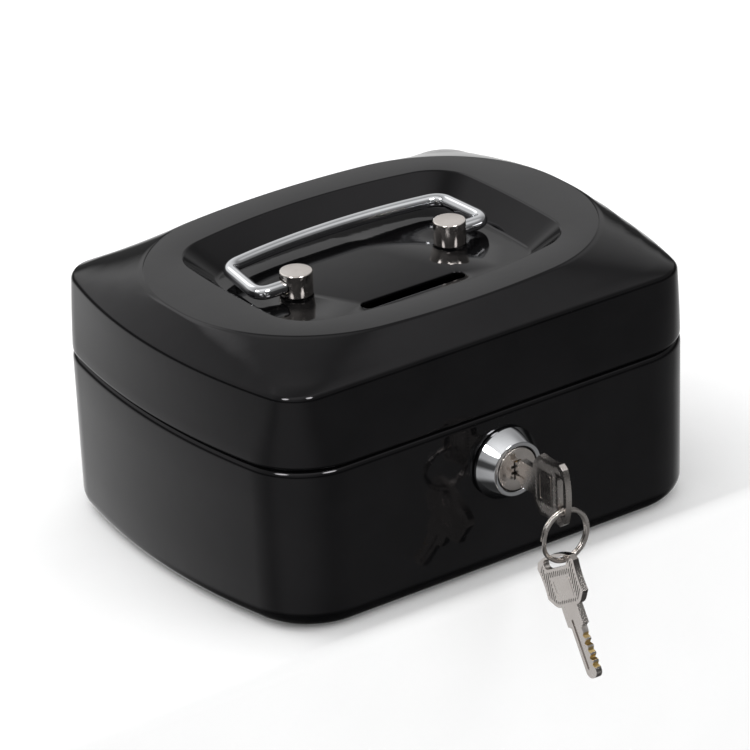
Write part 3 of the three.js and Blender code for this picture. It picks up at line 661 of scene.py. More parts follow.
def make_piece(name, skin, node, matrix=None, sharp=40.0, slot=None):
    """A smooth-shaded object from a skin, in a CAD node's finish; one with its own slot is an addition."""
    mesh = bpy.data.meshes.new(name)
    mesh.from_pydata(skin.verts, [], skin.faces)
    mesh.transform(Matrix.Scale(MM, 4) @ (matrix or Matrix.Identity(4)))
    mesh.polygons.foreach_set("use_smooth", [True] * len(mesh.polygons))
    mesh.set_sharp_from_angle(angle=math.radians(sharp))
    finish = slot or SLOT_OF[node]
    mesh.materials.append(finishes[finish])
    piece = bpy.data.objects.new(name, mesh)
    bpy.context.scene.collection.objects.link(piece)
    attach(piece, nodes[node]["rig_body"])
    if slot is None:
        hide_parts(node)
    return piece


def soften(piece, width, segments=3, angle=30.0):
    """A narrow rounded bevel along the piece's hard edges, width in millimetres."""
    bevel = piece.modifiers.new("edge", "BEVEL")
    bevel.width = width * MM
    bevel.segments = segments
    bevel.limit_method = "ANGLE"
    bevel.angle_limit = math.radians(angle)
    bevel.harden_normals = True
    return piece


def anticlockwise(shape):
    area = sum(a[0] * b[1] - b[0] * a[1] for a, b in zip(shape, shape[1:] + shape[:1]))
    return shape if area > 0 else shape[::-1]


def slab(outer, holes, low, high):
    """A plate between two heights with straight walls, from its outline and the outlines of its holes."""
    skin = Skin()
    shapes = [anticlockwise(list(shape)) for shape in (outer, *holes)]
    tops = [skin.loop(level(shape, high)) for shape in shapes]
    bottoms = [skin.loop(level(shape, low)) for shape in shapes]
    skin.bridge(tops[0], bottoms[0])
    for top, bottom in zip(tops[1:], bottoms[1:]):
        skin.bridge(bottom, top)
    skin.fill(tops[0], tops[1:])
    skin.fill(bottoms[0], bottoms[1:], flip=True)
    return skin


def stadium(x, y, half, radius, steps=20):
    points = []
    for side, start in ((1, -90), (-1, 90)):
        points += [tuple(p) for p in arc(x + side * half, y, radius, start, start + 180, steps)]
    return points


def circle(x, y, radius, steps=40):
    return [tuple(p) for p in arc(x, y, radius, 0, 360, steps)[:-1]]


def arc(centre_x, centre_y, radius, start, end, steps):
    """Points on an arc between two angles in degrees."""
    turns = [math.radians(angle) for angle in span(start, end, steps)]
    return [Vector((centre_x + radius * math.cos(t), centre_y + radius * math.sin(t))) for t in turns]


def level(points, z):
    """Flat points lifted to a height."""
    return [(x, y, z) for x, y in points]


def carve(skin, *cutters):
    """The skin with the cutters' volumes taken out of it."""
    def temporary(part):
        mesh = bpy.data.meshes.new("carving")
        mesh.from_pydata(part.verts, [], part.faces)
        thing = bpy.data.objects.new("carving", mesh)
        bpy.context.scene.collection.objects.link(thing)
        return thing

    blank = temporary(skin)
    tools = [temporary(cutter) for cutter in cutters]
    for tool in tools:
        cut = blank.modifiers.new("cut", "BOOLEAN")
        cut.operation = "DIFFERENCE"
        cut.solver = "EXACT"
        cut.object = tool
    bpy.context.view_layer.update()
    evaluated = blank.evaluated_get(bpy.context.evaluated_depsgraph_get())
    shape = evaluated.to_mesh()
    result = Skin()
    result.verts = [tuple(vertex.co) for vertex in shape.vertices]
    result.faces = [tuple(face.vertices) for face in shape.polygons]
    evaluated.to_mesh_clear()
    for thing in (blank, *tools):
        mesh = thing.data
        bpy.data.objects.remove(thing)
        bpy.data.meshes.remove(mesh)
    return result


def lathe(profile, segments=96):
    """A turned skin about +Z from (radius, height) points; a closed profile repeats its first point."""
    skin = Skin()
    closed = profile[0] == profile[-1]
    points = profile[:-1] if closed else profile
    loops = []
    for radius, height in points:
        if radius < 1e-6:
            loops.append(skin.loop([(0.0, 0.0, height)]))
            continue
        loops.append(skin.loop(level(circle(0.0, 0.0, radius, segments), height)))
    pairs = list(zip(loops, loops[1:])) + ([(loops[-1], loops[0])] if closed else [])
    for low, high in pairs:
        for i in range(segments):
            j = (i + 1) % segments
            if len(low) == 1:
                skin.faces.append((low[0], high[j], high[i]))
            elif len(high) == 1:
                skin.faces.append((low[i], low[j], high[0]))
            else:
                skin.faces.append((low[i], low[j], high[j], high[i]))
    return skin


# ---------------------------------------------------------------- shells
def lid_station(s):
    """Outline at distance s from the edge of the well's floor, over rim and plateau to the hip's foot."""
    if s <= 0:
        return inset(WELL_FLOOR, -s)
    for (low, inner), (high, outer) in zip(LID_STOPS, LID_STOPS[1:]):
        if s <= high:
            return between(inner, outer, (s - low) / (high - low))


def lid_lean(z):
    """How far up the lid's leaning side a height is, from 0 at its foot to 1 at its top."""
    return (z - LID_SIDE_LOW_Z) / (LID_SIDE_TOP_Z - LID_SIDE_LOW_Z)


def lid_side(z, inward=0.0):
    return inset(between(BODY, SHOULDER, max(lid_lean(z), 0.0)), inward)


def lid_top_section(drop, floor_r, rim_r, edge_r):
    """The lid's top as (s, z) from the well's floor to just above the hip's foot."""
    corners = [
        (FLOOR_INNER_S, FLOOR_Z, 0), (0.0, FLOOR_Z, floor_r), (WELL_RIM_S, PLATEAU_Z, rim_r),
        (PLATEAU_EDGE_S, PLATEAU_Z, edge_r), (HIP_FOOT_S, HIP_FOOT_Z, 0),
    ]
    return [(lid_station(s), z - drop) for s, z in rounded(corners, 9)[:-1]]


def lid_shoulder(inward, degrees):
    """The rounded shoulder of the outer skin, or of one further in."""
    rings = []
    for down, across in bends(LID_SHOULDER_R - inward, degrees):
        z = LID_SHOULDER_TOP_Z - inward - down
        rings.append((lid_side(z, inward + across), z))
    return rings


def lid_shell():
    skin = Skin()
    rings = lid_top_section(0.0, 1.8, 1.1, 2.0)
    for t in (0.7, 0.45, 0.2):
        rings.append((between(HIP_FOOT, PLATEAU, t), HIP_FOOT_Z + (PLATEAU_Z - HIP_FOOT_Z) * t))
    rings += lid_shoulder(0.0, span(40, 90, 8))
    rings += [(lid_side(z), z) for z in (*LID_SIDE_LEVELS, 52.5, LID_SIDE_LOW_Z)]
    rings += [(inset(BODY, across), LID_RIM_Z + up) for across, up in bends(LID_RIM_R, (25, 50, 75, 90))]
    rings += [(inset(BODY, LID_HEM - 0.3), LID_RIM_Z), (inset(BODY, LID_HEM), LID_RIM_Z + 0.3)]
    rings += [(inset(BODY, LID_HEM), LID_RIM_Z + 2.6), (inset(BODY, SHEET), LID_RIM_Z + 3.2)]
    rings += [(lid_side(z, SHEET), z) for z in reversed(LID_SIDE_LEVELS)]
    rings += lid_shoulder(SHEET, span(90, 40, 6))
    rings += reversed(lid_top_section(SHEET, 2.8, 0.4, 1.2))
    loops = skin.stack([level(outline_points(outline), z) for outline, z in rings])

    def hole(shape, edge):
        """A hole with softly rounded painted lips, from the top skin to the underside."""
        heights = [(edge, 0.0), (edge * 0.35, -edge * 0.3), (0.0, -edge)]
        heights += [(0.0, edge - SHEET), (edge * 0.35, edge * 0.3 - SHEET), (edge, -SHEET)]
        rims = [skin.loop(level(shape(grow), FLOOR_Z + drop)) for grow, drop in heights]
        for upper, lower in zip(rims, rims[1:]):
            for i in range(len(upper)):
                j = (i + 1) % len(upper)
                skin.faces.append((upper[j], lower[j], lower[i], upper[i]))
        return rims[0], rims[-1]

    holes = [hole(lambda grow: stadium(0.0, SLOT_Y, SLOT_HALF, SLOT_R + grow), 0.28)]
    for side in (-1, 1):
        holes.append(hole(lambda grow, side=side: circle(side * POST_X, POST_Y, SCREW_HOLE_R + grow), 0.2))
    skin.fill(loops[0], [upper for upper, _ in holes])
    skin.fill(loops[-1], [lower for _, lower in holes], flip=True)
    return skin


def base_shell():
    inner = bends(FOOT_FILLET - SHEET, span(0, 90, 8))
    rings = [(inset(FOOT, SHEET + across), SHEET + up) for up, across in inner]
    shoulder_low = BASE_TOP_Z - BASE_SHOULDER_R
    neck_in = inset(BODY, NECK_INSET + SHEET)
    rings += [(inset(BODY, SHEET), shoulder_low - SHEET), (inset(BODY, SHEET + 0.3), shoulder_low)]
    rings += [(inset(BODY, SHEET + 1.1), BASE_TOP_Z - 1.3), (neck_in, BASE_TOP_Z - SHEET)]
    lip = 0.4
    rings.append((neck_in, NECK_TOP_Z - lip))
    for angle in span(30, 180, 5):
        turn = math.radians(angle)
        across = NECK_INSET + SHEET / 2 + SHEET / 2 * math.cos(turn)
        rings.append((inset(BODY, across), NECK_TOP_Z - lip + lip * math.sin(turn)))
    rings.append((inset(BODY, NECK_INSET), BASE_TOP_Z + 0.5))
    rings.append((inset(BODY, NECK_INSET - 0.15), BASE_TOP_Z + 0.1))
    shoulder = bends(BASE_SHOULDER_R, span(0, 90, 8))
    rings += [(inset(BODY, across), BASE_TOP_Z - down) for down, across in shoulder]
    for t in (0.75, 0.5, 0.25):
        rings.append((between(FOOT, BODY, t), FOOT_FILLET + (shoulder_low - FOOT_FILLET) * t))
    rings += [(inset(FOOT, across), up) for up, across in bends(FOOT_FILLET, span(90, 0, 10))]
    flat = inset(FOOT, FOOT_FILLET + 2.0)
    rings = [(flat, SHEET), *rings, (flat, 0.0)]
    skin = Skin()
    loops = skin.stack([level(outline_points(outline), z) for outline, z in rings])
    skin.fill(loops[0], [])
    skin.fill(loops[-1], [], flip=True)
    return skin


# ---------------------------------------------------------------- simple turned and bent pieces
ALONG_X = Matrix(((0, 0, 1, 0), (1, 0, 0, 0), (0, 1, 0, 0), (0, 0, 0, 1)))   # x, y, z become Y, Z, X
TO_FRONT = Matrix.Rotation(math.radians(90), 4, "X")                          # z becomes -Y, y becomes Z
TO_REAR = Matrix.Rotation(math.radians(-90), 4, "X")                          # z becomes +Y, y becomes -Z
TO_RIGHT = Matrix.Rotation(math.radians(90), 4, "Y")                          # z becomes +X, x becomes -Z


def shift(x, y, z):
    return Matrix.Translation((x, y, z))


def rod(radius, low, high, edge=0.15, segments=48):
    corners = [(0.0, low, 0), (radius, low, edge), (radius, high, edge), (0.0, high, 0)]
    return lathe(rounded(corners, 3), segments)


def tube(inner, outer, low, high, edge=0.12, segments=72):
    corners = [(inner, low, edge), (outer, low, edge), (outer, high, edge), (inner, high, edge)]
    profile = rounded(corners, 3, closed=True)
    return lathe(profile + profile[:1], segments)


def block(half_x, half_y, low, high):
    corners = [(half_x, half_y), (-half_x, half_y), (-half_x, -half_y), (half_x, -half_y)]
    return slab(corners, [], low, high)


def rounded_box(x0, x1, y0, y1, radius):
    corners = [(x0, y0, radius), (x1, y0, radius), (x1, y1, radius), (x0, y1, radius)]
    return rounded(corners, closed=True)


def strip(centreline, thickness):
    """Outline of a band of even thickness along a flat centreline."""
    left, right = [], []
    last = len(centreline) - 1
    for i, spot in enumerate(centreline):
        tangent = (centreline[min(i + 1, last)] - centreline[max(i - 1, 0)]).normalized()
        across = Vector((-tangent.y, tangent.x)) * (thickness / 2)
        left.append(tuple(spot + across))
        right.append(tuple(spot - across))
    return left + right[::-1]


def screw(head_low, head_high, head_r, shaft_r, shaft_high, pitch=0.6):
    """A pan-head machine screw, head down, with a cross recess and a ridged shaft."""
    crown = 0.9
    profile = [(0.0, head_low)]
    profile += [tuple(p) for p in arc(head_r - crown, head_low + crown, crown, -90, 0, 6)]
    profile += [(head_r, head_high - 0.1), (head_r - 0.1, head_high), (shaft_r, head_high)]
    z = head_high + pitch
    while z + pitch < shaft_high - 0.3:
        profile += [(shaft_r, z), (shaft_r - SCREW_THREAD, z + pitch / 2)]
        z += pitch
    profile += [(shaft_r, shaft_high - 0.3), (shaft_r - 0.3, shaft_high), (0.0, shaft_high)]
    recess = head_low + SCREW_RECESS_DEPTH
    long, wide = SCREW_RECESS
    arms = [block(long, wide, head_low - 1.0, recess), block(wide, long, head_low - 1.0, recess - 0.001)]
    return carve(lathe(profile, 48), *arms)


# ---------------------------------------------------------------- handle
def bezier(points, steps):
    """Points of a straight or quadratic piece, without its last point."""
    spots = []
    for i in range(steps):
        t = i / steps
        if len(points) == 2:
            spots.append(points[0].lerp(points[1], t))
        else:
            spots.append(points[0].lerp(points[1], t).lerp(points[1].lerp(points[2], t), t))
    return spots


def bail_path():
    half = []
    for piece, count in zip(BAIL_PIECES, BAIL_STEPS):
        half += bezier([Vector((x, y, 0.0)) for x, y in piece], count)
    middle = Vector((0.0, BAIL_PIECES[-1][-1][1], 0.0))
    return half + [middle] + [Vector((-p.x, p.y, 0.0)) for p in reversed(half)]


def bail_wire():
    """A round wire along the bail's path, with flat ends."""
    path = bail_path()
    up = Vector((0.0, 0.0, 1.0))
    section = circle(0.0, 0.0, BAIL_WIRE_R, 32)
    rings = []
    last = len(path) - 1
    for i, spot in enumerate(path):
        tangent = (path[min(i + 1, last)] - path[max(i - 1, 0)]).normalized()
        across = up.cross(tangent)
        rings.append([spot + across * x + up * y for x, y in section])
    skin = Skin()
    loops = skin.stack(rings)
    skin.cap(loops[0])
    skin.cap(loops[-1], flip=True)
    return skin


def handle_post(side):
    profile = rounded([
        (0.0, POST_LOW_Z, 0), (POST_R, POST_LOW_Z, 0.3), (POST_R, POST_TOP_Z, 0.4), (0.0, POST_TOP_Z, 0),
    ])
    deep = POST_R - BAIL_SOCKET_DEPTH
    socket = rod(BAIL_WIRE_R + GAP, deep, POST_R + 1.0)
    turn = Matrix.Rotation(math.radians(90 * side), 4, "Y")
    bore = rod(SCREW_R + GAP, POST_LOW_Z - 1.0, POST_TOP_Z - 1.6)
    return carve(lathe(profile, 144), Skin().add(socket, shift(0.0, 0.0, BAIL_AXIS_Z) @ turn), bore)


# ---------------------------------------------------------------- hinges and rivets
def lid_wall_y(z):
    """Outer face of the lid's straight rear wall at a height; the front wall mirrors it."""
    return BODY["b"] + (SHOULDER["b"] - BODY["b"]) * lid_lean(z)


LID_WALL_LEAN = math.atan(lid_wall_y(0.0) - lid_wall_y(1.0))


def hinge_plate(low, high, round_low, round_high):
    """A leaf's flat plate in its own plane, with rounded outer corners and two rivet holes."""
    half = HINGE_WIDTH / 2
    outline = rounded([
        (-half, low, round_low), (half, low, round_low), (half, high, round_high), (-half, high, round_high),
    ], 6, closed=True)
    middle = BASE_RIVET_Z if round_low else LID_RIVET_Z
    holes = [circle(x, middle, RIVET_R + GAP, 24) for x in (-RIVET_SPREAD, RIVET_SPREAD)]
    return outline, holes


def hinge_leaf(side, on_lid):
    """A leaf whose plate is riveted to the sheet and whose edge is rolled round the pin."""
    centre_x = side * HINGE_X
    start_x = centre_x - HINGE_WIDTH / 2
    third = HINGE_WIDTH / 3
    curl_r = KNUCKLE_R - LEAF / 2
    near = HINGE_Y - curl_r
    reach = KNUCKLE_R + 0.5
    skin = Skin()
    if on_lid:
        foot = HINGE_Z + reach
        outline, holes = hinge_plate(foot, LID_LEAF_TOP_Z, 0, 3.0)
        outline, *holes = [[(x, z - foot) for x, z in shape] for shape in (outline, *holes)]
        flat = slab(outline, holes, -LEAF, 0.0)
        lean = Matrix.Rotation(LID_WALL_LEAN, 4, "X")
        under = lid_wall_y(foot) + 0.25
        skin.add(flat, shift(centre_x, under, foot) @ lean @ TO_FRONT)
        spans = [(third, 2 * third)]
        start = Vector((under + LEAF / 2, foot))
        centreline = [start] + arc(HINGE_Y, HINGE_Z, curl_r, 180, 475, 30)
    else:
        outline, holes = hinge_plate(BASE_LEAF_LOW_Z, HINGE_Z - reach, 3.0, 0)
        flat = slab(outline, holes, -near - LEAF / 2, -near + LEAF / 2)
        skin.add(flat, shift(centre_x, 0.0, 0.0) @ TO_FRONT)
        spans = [(0.0, third - GAP), (2 * third + GAP, HINGE_WIDTH)]
        start = Vector((near, HINGE_Z - reach))
        centreline = [start] + arc(HINGE_Y, HINGE_Z, curl_r, 180, -115, 30)
    curl = strip(centreline, LEAF)
    for low, high in spans:
        skin.add(slab(curl, [], start_x + low, start_x + high), ALONG_X)
    return skin


def hinge_pin():
    """A pin with a button at each end, from its left end at zero."""
    long = HINGE_WIDTH + 2 * HINGE_PIN_OVERHANG
    button = HINGE_PIN_BUTTON
    wide = HINGE_PIN_R + 0.7
    profile = rounded([
        (0.0, 0.0, 0), (wide, 0.0, 0.25), (wide, button, 0.1), (HINGE_PIN_R, button, 0),
        (HINGE_PIN_R, long - button, 0), (wide, long - button, 0.1), (wide, long, 0.25), (0.0, long, 0),
    ], 3)
    return lathe(profile, 32)


def rivet():
    """A rivet with a flat tail inside and a domed head outside; the sheet's outer face is at zero."""
    tail = -SHEET - 0.2
    head = 0.5 + LEAF
    head_r = RIVET_R + 1.2
    tail_r = RIVET_R + 0.9
    profile = [(0.0, tail - 0.6), (tail_r - 0.1, tail - 0.6), (tail_r, tail - 0.5), (tail_r, tail)]
    profile += [(RIVET_R, tail), (RIVET_R, head), (head_r, head)]
    for angle in span(0, 90, 8):
        turn = math.radians(angle)
        profile.append((head_r * math.cos(turn), head + 0.1 + 0.8 * math.sin(turn)))
    return lathe(profile, 40)


def latch_catch():
    """Bracket inside the lid's front wall, with a lip that the cam hooks over."""
    low = LID_RIM_Z + CATCH_LIP_RISE
    high = low + CATCH_SHEET

    def face(z):
        return SHEET + GAP - lid_wall_y(z)

    outline = rounded([
        (face(low), low, 1.3), (CATCH_LIP_Y, low, 0.3), (CATCH_LIP_Y, high, 0.3),
        (face(high) + CATCH_SHEET, high, 0.4), (face(CATCH_TOP_Z) + CATCH_SHEET, CATCH_TOP_Z, 0.4),
        (face(CATCH_TOP_Z), CATCH_TOP_Z, 0.2),
    ], 5, closed=True)
    return slab(outline, [], -CATCH_HALF, CATCH_HALF)


# ---------------------------------------------------------------- lock; z is the distance to the front
def lock_housing():
    corners = [(PLUG_BORE_R, BARREL_END, 0.12), (BARREL_R, BARREL_END, 0.2)]
    s = BARREL_END + 1.0
    while s < THREAD_END:
        corners += [(BARREL_R, s, 0), (BARREL_R - THREAD_PITCH / 2, s + THREAD_PITCH / 2, 0)]
        s += THREAD_PITCH
    corners += [
        (BARREL_R, HALF_Y + 0.1, 0), (BARREL_R, HALF_Y + 0.3, 0), (BEZEL_R, HALF_Y + 0.3, 0.1),
        (BEZEL_R, HALF_Y + 1.2, 0.3), (FACE_R + 0.05, LOCK_FACE, 0.32), (PLUG_BORE_R, LOCK_FACE, 0.22),
    ]
    profile = rounded(corners, 4, closed=True)
    return lathe(profile + profile[:1], 160)


def lock_plug():
    body = rod(PLUG_R, PLUG_END, LOCK_FACE, 0.28, 144)
    square = block(PLUG_SQUARE_HALF, PLUG_SQUARE_HALF, PLUG_SQUARE_END, PLUG_END + 0.5)
    half, tall, deep = KEYWAY_HALF, KEY_BLADE_HALF + GAP, KEYWAY_HALF + KEYWAY_WARD_DEPTH
    outline = [(half, -tall), (half, tall), (-half, tall)]
    for low, high in KEYWAY_WARDS:
        outline += [(-half, high), (-deep, high), (-deep, low), (-half, low)]
    outline.append((-half, -tall))
    keyway = slab(outline, [], KEYWAY_END, LOCK_FACE + 1.0)
    bore = rod(CAM_SCREW_BORE, PLUG_SQUARE_END - 0.9, CAM_SCREW["shaft_high"] + 0.4)
    slot_x, slot_y, slot_z = WAFER_HALF_WIDTH + GAP, PLUG_R + 1.0, WAFER_SLOT / 2
    slots = [block(slot_x, slot_y, s - slot_z, s + slot_z) for s in wafer_distances()]
    return carve(body, keyway, bore, *slots).add(square)


def wafer_distances():
    return [WAFER_FIRST - i * WAFER_PITCH for i in range(WAFERS)]


def wafer(distance):
    outline = rounded_box(-WAFER_HALF_WIDTH, WAFER_HALF_WIDTH, -WAFER_HALF_HEIGHT, WAFER_HALF_HEIGHT, 1.2)
    x, y = WAFER_WINDOW
    half = WAFER_THICKNESS / 2
    return slab(outline, [rounded_box(-x, x, -y, y, 0.3)], distance - half, distance + half)


def lock_cam():
    """Disc and arm cut from one plate, with the arm's end folded towards the front."""
    fold_x = CAM_REACH - CAM_FOLD
    meet = math.degrees(math.asin(CAM_HALF_WIDTH / CAM_DISC_R))
    outline = [tuple(p) for p in arc(0.0, 0.0, CAM_DISC_R, meet - 180, 180 - meet, 60)]
    outline += [(-fold_x, CAM_HALF_WIDTH), (-fold_x, -CAM_HALF_WIDTH)]
    hole = PLUG_SQUARE_HALF + GAP
    plate = slab(outline, [rounded_box(-hole, hole, -hole, hole, 0.4)], CAM_BACK, CAM_FRONT)
    fold = rounded([
        (-fold_x, CAM_BACK, 0), (-CAM_REACH, CAM_BACK, 1.5), (-CAM_REACH, CAM_FOLD_FRONT, 0.5),
        (-fold_x, CAM_FOLD_FRONT, 0.5), (-fold_x, CAM_FRONT, 0),
    ], 5, closed=True)
    return plate.add(slab(fold, [], -CAM_HALF_WIDTH, CAM_HALF_WIDTH), TO_FRONT)


def lock_nut():
    hexagon = [(p.x, p.y, 0.8) for p in arc(0.0, 0.0, NUT_R, 90, 450, 6)[:-1]]
    bore = circle(0.0, 0.0, BARREL_R + GAP, 72)
    return slab(rounded(hexagon, 5, closed=True), [bore], NUT_BACK, NUT_FRONT)


# ---------------------------------------------------------------- keys and ring
def key_outline():
    """Flat key in its own plane: x across it, y from the top of the head to the tip."""
    head, neck, blade = KEY_HEAD_HALF, KEY_NECK_HALF, KEY_BLADE_HALF
    sides = (
        ((0.0, 0.1), (head / 2, 0.1), (head - 1.2, 1.4)),
        ((head - 1.2, 1.4), (head, 3.0)),
        ((head, 3.0), (head - 1.0, 7.5), (head - 0.3, 11.8)),
        ((head - 0.3, 11.8), (head - 2.6, KEY_HEAD_LENGTH - 0.9)),
        ((head - 2.6, KEY_HEAD_LENGTH - 0.9), (neck + 1.4, KEY_HEAD_LENGTH), (neck, KEY_HEAD_LENGTH)),
    )
    half = []
    for piece in sides:
        steps = 1 if len(piece) == 2 else 10
        half += [tuple(p) for p in bezier([Vector(point) for point in piece], steps)]
    half += [(neck, KEY_HEAD_LENGTH), (neck, KEY_NECK_END - 0.6), (blade, KEY_NECK_END)]
    tip_points = ((blade, KEY_LENGTH - 1.6), (blade - 0.6, KEY_LENGTH), (0.0, KEY_LENGTH))
    tip = [tuple(p) for p in bezier([Vector(point) for point in tip_points], 8)]
    bites = []
    for v, depth in KEY_BITES:
        bites += [(blade, v - KEY_BITE_HALF), (blade - depth, v - KEY_BITE_FLAT)]
        bites += [(blade - depth, v + KEY_BITE_FLAT), (blade, v + KEY_BITE_HALF)]
    cut_side = half + bites + tip
    plain_side = [(-x, y) for x, y in reversed(half + tip)]
    return cut_side + [(0.0, KEY_LENGTH)] + plain_side[:-1]


def key_hole():
    points = stadium(0.0, 0.0, KEY_HOLE_HALF, KEY_HOLE_R, 10)
    return [(x, y + KEY_HOLE_V) for x, y in points]


def key_ribs(outline):
    """Fine diagonal grip ribs on one face of the head, round a plain panel."""
    middle = KEY_HEAD_LENGTH / 2
    field = [Vector((x * 0.9, middle + (y - middle) * 0.88)) for x, y in outline if y <= KEY_HEAD_LENGTH]
    skin = Skin()
    face = KEY_THICKNESS / 2
    along = Vector((1.0, 1.0)).normalized()
    across = Vector((-along.y, along.x))
    centre = Vector((0.0, middle))

    def open_at(spot):
        if abs(spot.x) < 4.9 and 6.2 < spot.y < 12.9:
            return False
        if abs(spot.x) < 6.3 and spot.y < 4.6:
            return False
        return inside(spot, field)

    def rib(start, end):
        low, high = face - 0.03, face + RIB_HEIGHT
        a, b = start - across * RIB_HALF_WIDTH, start + across * RIB_HALF_WIDTH
        c, d = end + across * RIB_HALF_WIDTH, end - across * RIB_HALF_WIDTH
        corners = [(*a, low), (*d, low), (*c, low), (*b, low), (*(start + along * 0.2), high)]
        corners.append((*(end - along * 0.2), high))
        base = skin.loop(corners)
        skin.faces += [(base[0], base[1], base[5], base[4]), (base[2], base[3], base[4], base[5])]
        skin.faces += [(base[1], base[2], base[5]), (base[3], base[0], base[4])]

    reach = 12.0
    lines = int(reach / RIB_PITCH)
    steps = 91
    for line in range(-lines, lines + 1):
        start = None
        for k in range(1 - steps, steps + 1):
            spot = centre + across * (line * RIB_PITCH) + along * (k * RIB_STEP)
            free = k < steps and open_at(spot)
            if free and start is None:
                start = spot
            if not free and start is not None:
                if (spot - start).length > 0.8:
                    rib(start, spot - along * RIB_STEP)
                start = None
    return skin


def key_blank(outline):
    """The key's flat blank with the hole in its head and a milled groove along each face of its blade."""
    face = KEY_THICKNESS / 2
    groove = rounded_box(-1.2, -0.35, 18.6, KEY_LENGTH - 2.6, 0.4)
    cutters = [slab(groove, [], face - 0.4, face + 1.0), slab(groove, [], -face - 1.0, 0.4 - face)]
    return carve(slab(outline, [key_hole()], -face, face), *cutters)


def key_relief(outline):
    """Ribs and panels that stand on both faces of the head."""
    face = KEY_THICKNESS / 2
    one = key_ribs(outline)
    panel = rounded_box(-4.3, 4.3, 6.8, 12.3, 0.9)
    rim = rounded_box(-3.7, 3.7, 7.4, 11.7, 0.5)
    one.add(slab(panel, [rim], face - 0.05, face + 0.07))
    other = Matrix.Rotation(math.pi, 4, "Y")
    return Skin().add(one).add(one, other)


def key_cuts():
    """The bare metal in the bites along the blade's edge."""
    blade = KEY_BLADE_HALF
    half = KEY_THICKNESS / 2 - 0.03
    skin = Skin()
    for v, depth in KEY_BITES:
        floor = blade - depth
        rising = [(blade - 0.02, -KEY_BITE_HALF), (floor - 0.03, -KEY_BITE_FLAT)]
        falling = [(floor + 0.12, -0.12), (blade - 0.04, -0.68)]
        outline = [(x, v + y) for x, y in rising]
        outline += [(x, v - y) for x, y in (*reversed(rising), *reversed(falling))]
        outline += [(x, v + y) for x, y in falling]
        skin.add(slab(outline, [], -half, half))
    return skin


def split_ring():
    """Flattened spring wire wound twice, with a short crossing where it changes turns."""
    half_width, half_depth = RING_WIRE_R / 2, RING_WIRE_R * 0.85

    def squared(value):
        return math.copysign(abs(value) ** 0.6, value)

    section = [(half_depth * squared(x), half_width * squared(y)) for x, y in circle(0.0, 0.0, 1.0, 20)]
    first, last, cross_from, cross_to = 24.0, 696.0, 338.0, 382.0
    start_angle = 200.0
    rings = []
    for degrees in span(first, last, 240):
        t = min(max((degrees - cross_from) / (cross_to - cross_from), 0.0), 1.0)
        side = (t * t * (3 - 2 * t) * 2 - 1) * (half_width + 0.01)
        angle = math.radians(degrees + start_angle)
        radii = [(RING_R + d, side + w) for d, w in section]
        rings.append([(r * math.cos(angle), y, r * math.sin(angle)) for r, y in radii])
    skin = Skin()
    loops = skin.stack(rings)
    skin.cap(loops[0])
    skin.cap(loops[-1], flip=True)
    return skin


# ---------------------------------------------------------------- coin tray
def clipped(shape, x0, x1, y0, y1):
    """The part of a convex outline inside an upright rectangle."""
    for axis, limit, sign in ((0, x0, 1), (0, x1, -1), (1, y0, 1), (1, y1, -1)):
        kept = []
        for i, here in enumerate(shape):
            before = shape[i - 1]
            here_in = sign * (here[axis] - limit) >= 0
            before_in = sign * (before[axis] - limit) >= 0
            if here_in != before_in:
                t = (limit - before[axis]) / (here[axis] - before[axis])
                kept.append(tuple(a + (b - a) * t for a, b in zip(before, here)))
            if here_in:
                kept.append(here)
        shape = kept
    return shape


def spaced(shape):
    """The outline without the points that lie close to the next one."""
    ahead = shape[1:] + shape[:1]
    return [here for here, after in zip(shape, ahead) if math.dist(here, after) > 0.4]


def grown(shape, distance):
    """A convex outline moved outwards, with an arc at each corner; the point count stays the same."""
    points = []
    count = len(shape)
    for i, here in enumerate(shape):
        before, ahead = shape[i - 1], shape[(i + 1) % count]
        start = math.atan2(here[1] - before[1], here[0] - before[0]) - math.pi / 2
        end = math.atan2(ahead[1] - here[1], ahead[0] - here[0]) - math.pi / 2
        turn = (end - start) % (2 * math.pi)
        steps = 8 if turn > 0.5 else 1
        for k in range(steps + 1):
            angle = start + turn * k / steps
            points.append((here[0] + distance * math.cos(angle), here[1] + distance * math.sin(angle)))
    return points


def tray_pockets():
    """Cores of the tray's compartments: the space between its walls, shrunk by the corner radius."""
    gap = TRAY_WALL / 2 + TRAY_CORNER_R
    inner = outline_points(inset(BODY, TRAY_INSET + TRAY_WALL + TRAY_CORNER_R))
    cells = []
    edges = [(i / TRAY_BAYS - 0.5) * 2 * (BODY["a"] - TRAY_INSET) for i in range(TRAY_BAYS + 1)]
    edges[0], edges[-1] = -FAR, FAR
    for low, high in zip(edges, edges[1:]):
        cells.append((low + gap, high - gap, TRAY_ROW_Y + gap, FAR))
    half = TRAY_WALL / 2
    left, right, back = NOTCH_LEFT - half, NOTCH_RIGHT + half, NOTCH_BACK + half
    cells.append((-FAR, left - gap, -FAR, TRAY_ROW_Y - gap))
    cells.append((left + gap, right - gap, back + gap, TRAY_ROW_Y - gap))
    cells.append((right + gap, FAR, -FAR, TRAY_ROW_Y - gap))
    return [spaced(clipped(inner, *cell)) for cell in cells]


